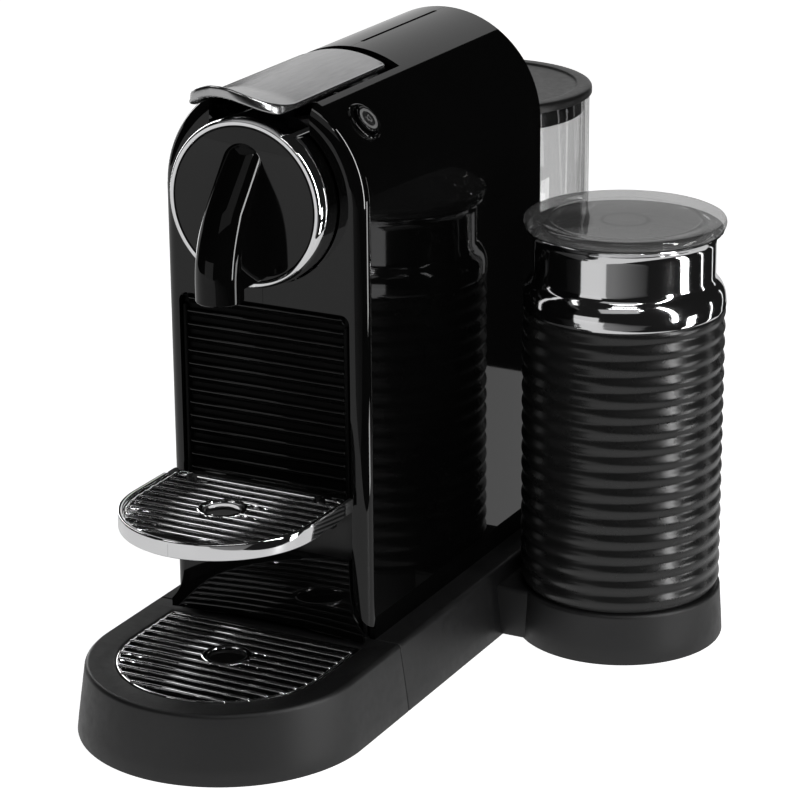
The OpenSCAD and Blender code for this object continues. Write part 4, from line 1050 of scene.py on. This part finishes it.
tb = prism(rounded([(-1.6, 68), (2.2, 68), (2.2, 96), (-1.6, 96)], [0.2, 0.2, 0.4, 1.4], 5), -41, 41, "yz", edge=0.3)
lugs, lug_cut = [], [rod(1.8, -40, 40, "x", (0, -9, 95.6))]
for s in (-1, 1):
    side = rounded([(-12.1, 92.5), (-6.5, 86.5), (-5.0, 84.0), (-1.4, 84.0), (-1.4, 95.9), (-4.0, 98.5), (-9.0, 98.7), (-12.1, 97.5)], [2.6, 3, 1, 0.1, 0.1, 1.5, 2.6, 2.4], 6)
    lugs.append(prism(side, s * 32 - 2.2, s * 32 + 2.2, "yz", edge=0.3))
piece("cup_tray_hanger", carve(tb, add=lugs, cut=lug_cut), "capsule_unit", M["gloss_inner"], ["tray_bracket"], angle=30)


# ---------------------------------------------------------------- frother base
fb_prof = ([(0, 0.3), (47.5, 0.3), (47.88, 0.42), (48.05, 0.8), (47.6, 9.0), (47.1, 16.0), (46.75, 22.2)]
           + [(46.75 - 1.8 + 1.8 * math.cos(t), 22.4 + 1.8 * math.sin(t)) for t in np.linspace(0.08, pi / 2, 7)] + [(0, 24.2)])
disc = lathe(fb_prof, 192)
disc = (disc[0] + np.array([JX, JY, 0]), disc[1])


def arm_rings(d):
    out = []
    for z, q in ((1.0, 0.5), (1.15, 0.15), (1.6, 0.0), (22.4, 1.1), (23.3, 1.35), (23.9, 1.9), (24.2, 2.9)):
        w = 36 - q - d
        out.append(ring_at([(52, JY - w), (JX - 30, JY - w), (JX - 30, JY + w), (52, JY + w)], z))
    return out


arm = loft(arm_rings(0.0))
fb_cut = [outer_b, rod(45.1, -2, 21.7, at=(JX, JY, 0), segs=128), rod(14, 18, 30, at=(JX, JY, 0)), box_mesh(67.5, JX - 30, JY - 33.5, JY + 33.5, -1, 21.7)]
solid_b = flip_y(loft(base_rings(-200.5, -4.6, [(r + 0.02, z if z > 1.2 else z - 3) for r, z in BASE_PROF])))
fb_cut[0] = solid_b
piece("frother_housing", carve(disc, add=[arm], cut=fb_cut), "root", M["base"], ["frother_base"], angle=30)


# ---------------------------------------------------------------- water tank
def tank_ring(d, z, front=0.0, corner=6.0, n=120, nc=10, nf=20, r=52.5):
    """Round wall with a flat front, drawn in by d, always the same count of points."""
    R, y0 = r - d, 174.6 + d + front
    c = max(corner - d, 1.2)
    # corner circle touches the chord from inside and the round wall from inside
    cy = y0 + c
    cx = math.sqrt(max((R - c) ** 2 - (cy - TANK_Y) ** 2, 0))
    a_t = math.degrees(math.atan2(cy - TANK_Y, cx))
    pts = arc(0, TANK_Y, R, a_t, 180 - a_t, n)
    pts += arc(-cx, cy, c, 180 - a_t, 270, nc)[1:]
    pts += [(-cx + 2 * cx * i / nf, y0) for i in range(1, nf)]
    pts += arc(cx, cy, c, 270, 360 + a_t, nc)[:-1]
    return ring_at(pts, z)


wall_t = 2.0
rings = [tank_ring(d, z, max(0.0, -d)) for d, z in ((2.4, 33.2), (1.1, 33.4), (0.35, 34.0), (0, 35.2), (0, 62), (-0.8, 78), (-0.8, 130), (-0.8, 180), (-0.8, 228.4), (-0.6, 228.85), (-0.2, 229.0), (0.6, 229.0), (1.0, 228.85),
                                                    (1.2, 228.4), (1.2, 180), (1.2, 130), (1.2, 80), (2.0, 62), (2.0, 38.0), (2.4, 36.7), (3.4, 35.9), (5.0, 35.7))]
piece("water_tank_wall", carve(loft(rings), cut=[rod(5, 30, 40, at=(0, TANK_Y, 0))]), "water_tank", M["tank"], ["tank"], angle=40)

lid_rings = [tank_ring(d, z, front) for d, z, front in (
    (4.0, 231.6, 0.0), (4.0, 221.3, 0.0), (3.6, 221.0, 0.0), (2.2, 221.0, 0.0), (1.8, 221.4, 0.0), (1.8, 229.4, 0.0),
    (-1.6, 229.4, 1.3), (-2.0, 229.7, 1.7), (-2.0, 231.4, 1.7), (-1.86, 232.3, 1.6), (-1.4, 233.0, 1.3), (-0.6, 233.45, 0.8), (0.4, 233.6, 0.3),
    (4.6, 233.6, 0.2), (5.2, 233.5, 0.3), (5.7, 233.1, 0.5), (6.2, 232.85, 0.6), (7.2, 232.8, 0.6))]
piece("tank_cover", loft(lid_rings), "tank_cap", M["lid"], ["tank_lid"], angle=32)


# ---------------------------------------------------------------- frother jug
def at_jug(v):
    return v + np.array([JX, JY, 0.0])


def jug_lathe(name, prof, body, mat, rep, segs=200, angle=40):
    v, f, _ = lathe(prof, segs)
    return piece(name, (at_jug(v), f), body, mat, rep, angle)


RP, RN = 7.44, 18
rib_prof = [(43.2, 26.2)]
z = 26.25
while z < 157.45:
    c = 0.5 + 0.5 * math.cos(2 * pi * (z - 29.5) / RP)
    rib_prof.append((45.12 + 1.08 * c ** 0.8, z))
    z += RP / 14
rib_prof += [(45.75, 157.6), (45.4, 157.9), (43.2, 157.9)]
v, f, _ = lathe(rib_prof, 200)
sl = carve((at_jug(v), f), cut=[rod(7.3, JY + 30, JY + 60, "y", (JX, 0, 118))])
piece("jug_ribs", sl, "jug", M["sleeve"], ["jug_sleeve"], angle=40)

co = smooth_curve([(46.05, 158.1), (46.27, 159.0), (46.3, 160.4), (46.26, 162.4), (45.95, 164.6), (45.3, 166.6), (44.3, 168.3), (43.2, 169.6), (42.25, 170.6), (41.64, 171.7), (41.43, 173.1), (41.4, 175.0)], 4)
co += smooth_curve([(41.4, 187.4), (41.48, 189.3), (41.95, 191.0), (42.95, 192.4), (44.1, 193.3), (44.6, 193.75)], 4)
ci = [(44.5, 194.05), (44.0, 194.4), (42.2, 193.4), (40.9, 191.6), (40.4, 189), (40.4, 173), (40.8, 170.6), (42, 168.4), (43.5, 166.4), (44.7, 164), (45.1, 162), (45.1, 160.4), (44.0, 160), (44.0, 158.1), (44.2, 157.98), (45.7, 157.98)]
jug_lathe("jug_shoulder", co + ci, "jug", M["collar"], ["jug_collar"], segs=320)

can = [(0, 44.4), (38.0, 44.4)] + arc(37.9, 46.8, 2.4, -80, 0, 8) + [(40.3, 60), (40.3, 188.9), (40.15, 189.3), (39.75, 189.4), (39.35, 189.3), (39.2, 188.9), (39.2, 60)]
can += arc(37.4, 47.4, 1.8, 0, -90, 6) + [(3.6, 45.6), (3.3, 45.9), (3.2, 51.6), (2.9, 52.6), (2.2, 53.0), (0, 53.0)]
jug_lathe("milk_can", can, "jug", M["can"], ["jug_can"], segs=160)

lid = [(0, 198.8), (33.2, 198.8), (33.9, 198.5), (34.3, 197.8), (34.9, 197.3), (35.4, 196.6), (35.4, 184.8), (35.7, 184.45), (36.9, 184.45), (37.2, 184.8), (37.2, 194.2), (37.6, 194.8), (38.4, 194.95), (44.4, 194.95),
       (45.1, 195.3), (45.5, 196.6), (45.8, 198.6), (45.7, 200.0), (45.3, 201.1), (44.5, 201.75), (43.3, 201.9), (41.6, 201.85), (39.4, 201.4), (37.2, 200.62), (35.9, 200.45), (35.1, 200.6), (34.5, 200.6), (34.1, 200.3), (33.5, 200.22),
       (12.6, 200.22), (0, 200.22)]
lid = [(r, z if z < 194.95 else 194.95 + (z - 194.95) * 0.62) for r, z in lid]
hold = [(9.7, 191.4), (10.0, 191.0), (11.2, 191.0), (11.5, 191.4), (11.5, 197.5), (9.7, 197.5)]
hv, hf, _ = lathe(hold, 96)
lv, lf, _ = lathe(lid, 200)
piece("jug_cover", carve((at_jug(lv), lf), add=[(at_jug(hv), hf)]), "jug_cap", M["jug_lid"], ["jug_lid"], angle=40)

bp = [(0, -44.45), (6.8, -44.45), (6.8, -46.3), (6.62, -46.7), (6.2, -46.9), (4.6, -46.75), (0, -46.6)]
v, f, _ = lathe(bp, 72, turn=TO_Y)
piece("jug_push_button", (v + np.array([JX, JY, 118.0]), f), "jug_key", M["sleeve"], ["jug_button"], angle=36)


def whisk():
    parts = []
    hub = lathe([(3.5, 46.5), (3.7, 46.4), (6.1, 46.4), (6.5, 46.8), (6.5, 54.6), (6.1, 55.3), (5.2, 55.5), (0, 55.5), (0, 54.0), (3.3, 54.0), (3.5, 53.8)], 64)
    parts.append((at_jug(hub[0]), hub[1]))
    for k in range(6):
        a = k * pi / 3
        b = box_mesh(5.6, 15.9, -0.6, 0.6, 50.1, 51.5, 0.3)
        c, s = math.cos(a), math.sin(a)
        parts.append((at_jug(b[0] @ np.array([[c, s, 0], [-s, c, 0], [0, 0, 1]])), b[1]))
    turns, per, rr, wr, sec = 46, 14, 1.95, 0.34, 7
    n = turns * per
    cen, tans = [], []
    for i in range(n):
        a, b = 2 * pi * i / n, 2 * pi * i / per
        q = 17 + rr * math.cos(b)
        cen.append((q * math.cos(a), q * math.sin(a), 50.8 + rr * math.sin(b)))
    cen = np.array(cen)
    tan = np.roll(cen, -1, 0) - np.roll(cen, 1, 0)
    tan /= np.linalg.norm(tan, axis=1)[:, None]
    rings = []
    for i in range(n):
        a = 2 * pi * i / n
        mid = np.array([17 * math.cos(a), 17 * math.sin(a), 50.8])
        e1 = cen[i] - mid
        e1 -= tan[i] * (e1 @ tan[i]); e1 /= np.linalg.norm(e1)
        e2 = np.cross(tan[i], e1)
        rings.append([tuple(cen[i] + wr * (math.cos(2 * pi * k / sec) * e1 + math.sin(2 * pi * k / sec) * e2)) for k in range(sec)])
    coil = loft(rings, close=True)
    parts.append((at_jug(coil[0]), coil[1]))
    return join(*parts)


piece("whisk_coil", whisk(), "whisk_wheel", M["pin"], ["whisk"], angle=45)


# ---------------------------------------------------------------- carried-over nodes
def shade_group():
    g = bpy.data.node_groups.new("smooth_by_angle", "GeometryNodeTree")
    g.interface.new_socket("Geometry", in_out="INPUT", socket_type="NodeSocketGeometry")
    g.interface.new_socket("Geometry", in_out="OUTPUT", socket_type="NodeSocketGeometry")
    gi, go = g.nodes.new("NodeGroupInput"), g.nodes.new("NodeGroupOutput")
    s1 = g.nodes.new("GeometryNodeSetShadeSmooth"); s1.domain = "FACE"; s1.inputs["Shade Smooth"].default_value = True
    s2 = g.nodes.new("GeometryNodeSetShadeSmooth"); s2.domain = "EDGE"
    ea = g.nodes.new("GeometryNodeInputMeshEdgeAngle")
    cmp_ = g.nodes.new("FunctionNodeCompare"); cmp_.data_type = "FLOAT"; cmp_.operation = "LESS_THAN"
    cmp_.inputs[1].default_value = math.radians(32)
    g.links.new(ea.outputs["Unsigned Angle"], cmp_.inputs[0])
    g.links.new(gi.outputs[0], s1.inputs["Geometry"])
    g.links.new(s1.outputs[0], s2.inputs["Geometry"])
    g.links.new(cmp_.outputs[0], s2.inputs["Shade Smooth"])
    g.links.new(s2.outputs[0], go.inputs[0])
    return g


SHADE = shade_group()
SLOT_MAT = {"base_black": "base", "inner_black": "inner", "gloss_black": "gloss", "rubber": "rubber", "frame_steel": "steel", "chrome": "chrome",
            "lever_metal": "lever", "cast_metal": "cast", "pump_brass": "brass", "clear_tube": "tube", "board": "board", "pin_steel": "pin",
            "piston_black": "inner", "clear_tank": "tank", "lid_black": "lid", "sleeve_black": "sleeve", "can_steel": "can", "whisk_steel": "pin",
            "clear_lid": "jug_lid", "seal_grey": "seal"}
NODE_SLOT = {s["node"]: s["material_slot"] for s in frame["record"]["subparts"]}
NO_BEVEL = {"control_board", "case_screws", "water_tubes", "jug_lid_seal"}
for nm, ob in NODES.items():
    if ob.hide_render:
        continue
    mat = M[SLOT_MAT[NODE_SLOT[nm]]]
    if nm == "flow_meter":
        mat = M["white"]
    if nm == "button_switches":
        mat = M["inner"]
    if ob.data.materials:
        for i in range(len(ob.data.materials)):
            ob.data.materials[i] = mat
    else:
        ob.data.materials.append(mat)
    w = ob.modifiers.new("weld", "WELD"); w.merge_threshold = 1e-6
    if nm not in NO_BEVEL:
        b = ob.modifiers.new("bevel", "BEVEL")
        b.width, b.segments, b.limit_method, b.angle_limit = 0.0003, 2, "ANGLE", math.radians(38)
    s = ob.modifiers.new("shade", "NODES"); s.node_group = SHADE


# ---------------------------------------------------------------- camera
def camera():
    a, e, roll = math.radians(26.66), math.radians(18.88), math.radians(-0.15)
    back = Vector((math.sin(a) * math.cos(e), -math.cos(a) * math.cos(e), math.sin(e)))
    right = Vector((math.cos(a), math.sin(a), 0))
    up = back.cross(right)
    r2 = right * math.cos(roll) + up * math.sin(roll)
    u2 = -right * math.sin(roll) + up * math.cos(roll)
    cam = bpy.data.cameras.new("camera")
    cam.sensor_width, cam.lens = 36.0, 3139.0 * 36 / 800
    cam.shift_x, cam.shift_y = -(448.64 - 400) / 800, -(400 - 388.87) / 800
    cam.clip_start, cam.clip_end = 0.05, 60
    ob = bpy.data.objects.new("camera", cam)
    bpy.context.scene.collection.objects.link(ob)
    m = Matrix((r2, u2, back)).transposed().to_4x4()
    m.translation = P(647.6, -1114.78, 581.59)
    ob.matrix_world = m
    bpy.context.scene.camera = ob


camera()


# ---------------------------------------------------------------- studio
def world():
    w = bpy.data.worlds.new("studio")
    bpy.context.scene.world = w
    w.use_nodes = True
    nt = w.node_tree
    nt.nodes.clear()
    out = nt.nodes.new("ShaderNodeOutputWorld")
    lp_ = nt.nodes.new("ShaderNodeLightPath")
    dark, seen, through = (nt.nodes.new("ShaderNodeBackground") for _ in range(3))
    dark.inputs["Color"].default_value, dark.inputs["Strength"].default_value = (1, 1, 1, 1), WORLD_OTHER
    seen.inputs["Color"].default_value, seen.inputs["Strength"].default_value = (1, 1, 1, 1), 1.0
    through.inputs["Color"].default_value, through.inputs["Strength"].default_value = (1, 1, 1, 1), WORLD_THROUGH
    m1, m2 = nt.nodes.new("ShaderNodeMixShader"), nt.nodes.new("ShaderNodeMixShader")
    nt.links.new(lp_.outputs["Is Transmission Ray"], m1.inputs[0])
    nt.links.new(dark.outputs[0], m1.inputs[1]); nt.links.new(through.outputs[0], m1.inputs[2])
    nt.links.new(lp_.outputs["Is Camera Ray"], m2.inputs[0])
    nt.links.new(m1.outputs[0], m2.inputs[1]); nt.links.new(seen.outputs[0], m2.inputs[2])
    nt.links.new(m2.outputs[0], out.inputs[0])


def emissive(name, strength, soft=0.0):
    m, nt, b = node_mat(name)
    b.inputs["Base Color"].default_value = (0, 0, 0, 1)
    b.inputs["Emission Color"].default_value = (1, 1, 1, 1)
    b.inputs["Emission Strength"].default_value = strength
    return m


def quad(name, pts, mat, camera_=False, glossy=True, diffuse=True, transmission=True, shadow=False):
    me = bpy.data.meshes.new(name)
    me.from_pydata([tuple(P(*p)) for p in pts], [], [list(range(len(pts)))])
    me.materials.append(mat)
    ob = bpy.data.objects.new(name, me)
    bpy.context.scene.collection.objects.link(ob)
    ob.visible_camera, ob.visible_glossy, ob.visible_diffuse, ob.visible_transmission, ob.visible_shadow = camera_, glossy, diffuse, transmission, shadow
    return ob


def panel_light(name, at, aim, w, h, radiance, glossy=True, spread=180, diffuse=True):
    L = bpy.data.lights.new(name, "AREA")
    L.shape, L.size, L.size_y = "RECTANGLE", w / 1000, h / 1000
    L.energy = radiance * pi * (w / 1000) * (h / 1000)
    L.spread = math.radians(spread)
    ob = bpy.data.objects.new(name, L)
    bpy.context.scene.collection.objects.link(ob)
    p, q = P(*at), P(*aim)
    ob.location = p
    ob.rotation_euler = (q - p).to_track_quat("-Z", "Y").to_euler()
    ob.visible_camera = False
    ob.visible_glossy = glossy
    ob.visible_diffuse = diffuse
    return ob


WORLD_OTHER, WORLD_THROUGH = 0.01, 0.55
world()
bpy.context.scene.view_settings.view_transform = "Standard"
bpy.context.scene.view_settings.look = "None"

# the pale floor that is seen
fm, fnt, fb = node_mat("floor_pale")
fb.inputs["Roughness"].default_value = 0.9
fn = noise(fnt, 3)
tint(fnt, fn.outputs["Fac"], g3(0.93), g3(0.95), fb.inputs["Base Color"])
fb.inputs["Emission Color"].default_value = (1, 1, 1, 1)
fb.inputs["Emission Strength"].default_value = 0.97
quad("floor", [(-4000, -3000, 0), (4000, -3000, 0), (4000, 6000, 0), (-4000, 6000, 0)], fm, camera_=True, glossy=False, transmission=True, shadow=True)

# the pale table, as glossy surfaces see it
T0 = -0.5
quad("table_front", [(-1500, -1500, T0), (182, -1500, T0), (120, -420, T0), (250, -250, T0), (300, 40, T0), (60, 60, T0), (-1500, 60, T0)],
     emissive("table_glow", 0.62), diffuse=False, transmission=False)
quad("table_left", [(-1500, 60, T0), (-66, 60, T0), (-40, 420, T0), (-100, 1500, T0), (-1500, 1500, T0)], emissive("table_left_glow", 0.55), diffuse=False, transmission=False)
dim = emissive("table_dim", 0.12)
dt = dim.node_tree
tcn, sx, mr = (dt.nodes.new(k) for k in ("ShaderNodeTexCoord", "ShaderNodeSeparateXYZ", "ShaderNodeMapRange"))
dt.links.new(tcn.outputs["Object"], sx.inputs[0])
dt.links.new(sx.outputs["X"], mr.inputs["Value"])
for k, val in (("From Min", 0.17), ("From Max", 0.62), ("To Min", 0.17), ("To Max", 0.012)):
    mr.inputs[k].default_value = val
dt.links.new(mr.outputs[0], [n for n in dt.nodes if n.bl_idname == "ShaderNodeBsdfPrincipled"][0].inputs["Emission Strength"])
quad("table_side", [(182, -1500, T0), (640, -1500, T0), (640, -260, T0), (250, -250, T0), (120, -420, T0)], dim, diffuse=False, transmission=False)
quad("table_back", [(60, 60, T0), (300, 40, T0), (330, 456, T0), (60, 450, T0)], emissive("table_back_glow", 0.60), diffuse=False, transmission=False)
quad("wall_front_left", [(-1300, -1500, 0), (0, -1500, 0), (0, -1500, 420), (-1300, -1500, 420)], emissive("wall_glow", 0.6), diffuse=False, transmission=False)
quad("wall_left", [(-1450, 100, 0), (-1450, 1250, 0), (-1450, 1250, 380), (-1450, 100, 380)], emissive("wall_left_glow", 0.5), diffuse=False, transmission=False)

# a wide panel behind, a tall strip on the right, a soft box over the front
quad("panel_behind", [(70, 1520, -260), (-1000, 1520, -260), (-1000, 1520, 1320), (70, 1520, 1320)], emissive("panel_glow", 0.62), diffuse=False, transmission=False)
quad("strip_right_low", [(900, 225, -112), (900, 395, -112), (900, 395, 70), (900, 225, 70)], emissive("strip_low_glow", 7.5), diffuse=False, transmission=False)
quad("strip_right_floor", [(900, 225, -420), (900, 395, -420), (900, 395, -180), (900, 225, -180)], emissive("strip_floor_glow", 7.5), diffuse=False, transmission=False)
quad("strip_right", [(900, -45, 0), (900, 35, 0), (900, 35, 1350), (900, -45, 1350)], emissive("strip_glow", 20.0), diffuse=False, transmission=False)
quad("strip_left", [(-790, 470, -330), (-700, 590, -330), (-700, 590, 900), (-790, 470, 900)], emissive("strip_left_glow", 3.6), diffuse=False, transmission=False)
quad("soft_box_front", [(40, -1010, 900), (760, -560, 900), (610, -330, 1250), (-110, -780, 1250)], emissive("box_glow", 0.4), diffuse=False, transmission=False)


def tube(name, az0, az1, el, width, dist, glow, c=(0, 0, 180)):
    """A thin bright band along a parallel of latitude around the machine, seen only in reflections."""
    a, e0, e1 = np.radians([az0, az1]), math.radians(el - width / 2), math.radians(el + width / 2)
    pts = [(c[0] + dist * math.cos(e) * math.cos(q), c[1] + dist * math.cos(e) * math.sin(q), c[2] + dist * math.sin(e)) for q, e in ((a[0], e0), (a[1], e0), (a[1], e1), (a[0], e1))]
    quad(name, pts, emissive(name + "_glow", glow), diffuse=False, transmission=False)


tube("tube_front_low", -91, -39, 59, 2.5, 1400, 4.0, (100, 134, 160))
tube("tube_front_high", -88, -42, 65, 3.0, 1400, 4.0, (100, 134, 160))
tube("tube_right", -62, -28, 50, 2.5, 1400, 14.0)
quad("tube_overhead", [(-660, -420, 1120), (-500, -420, 1150), (-500, 380, 1150), (-660, 380, 1120)], emissive("overhead_glow", 1.6), diffuse=False, transmission=False)
quad("strip_tank", [(672, 712, -260), (703, 688, -260), (703, 688, 300), (672, 712, 300)], emissive("strip_tank_glow", 3.0), diffuse=False, transmission=False)
quad("strip_tank_far", [(325, 939, -260), (360, 928, -260), (360, 928, 300), (325, 939, 300)], emissive("strip_tank_far_glow", 1.2), diffuse=False, transmission=False)

panel_light("key", (900, -700, 900), (20, 60, 80), 700, 700, 5.0, glossy=False)
panel_light("fill_left", (-1100, -300, 700), (0, 60, 100), 600, 900, 0.35, glossy=False)
panel_light("top", (-100, 300, 1400), (0, 60, 100), 900, 900, 1.2, glossy=False)
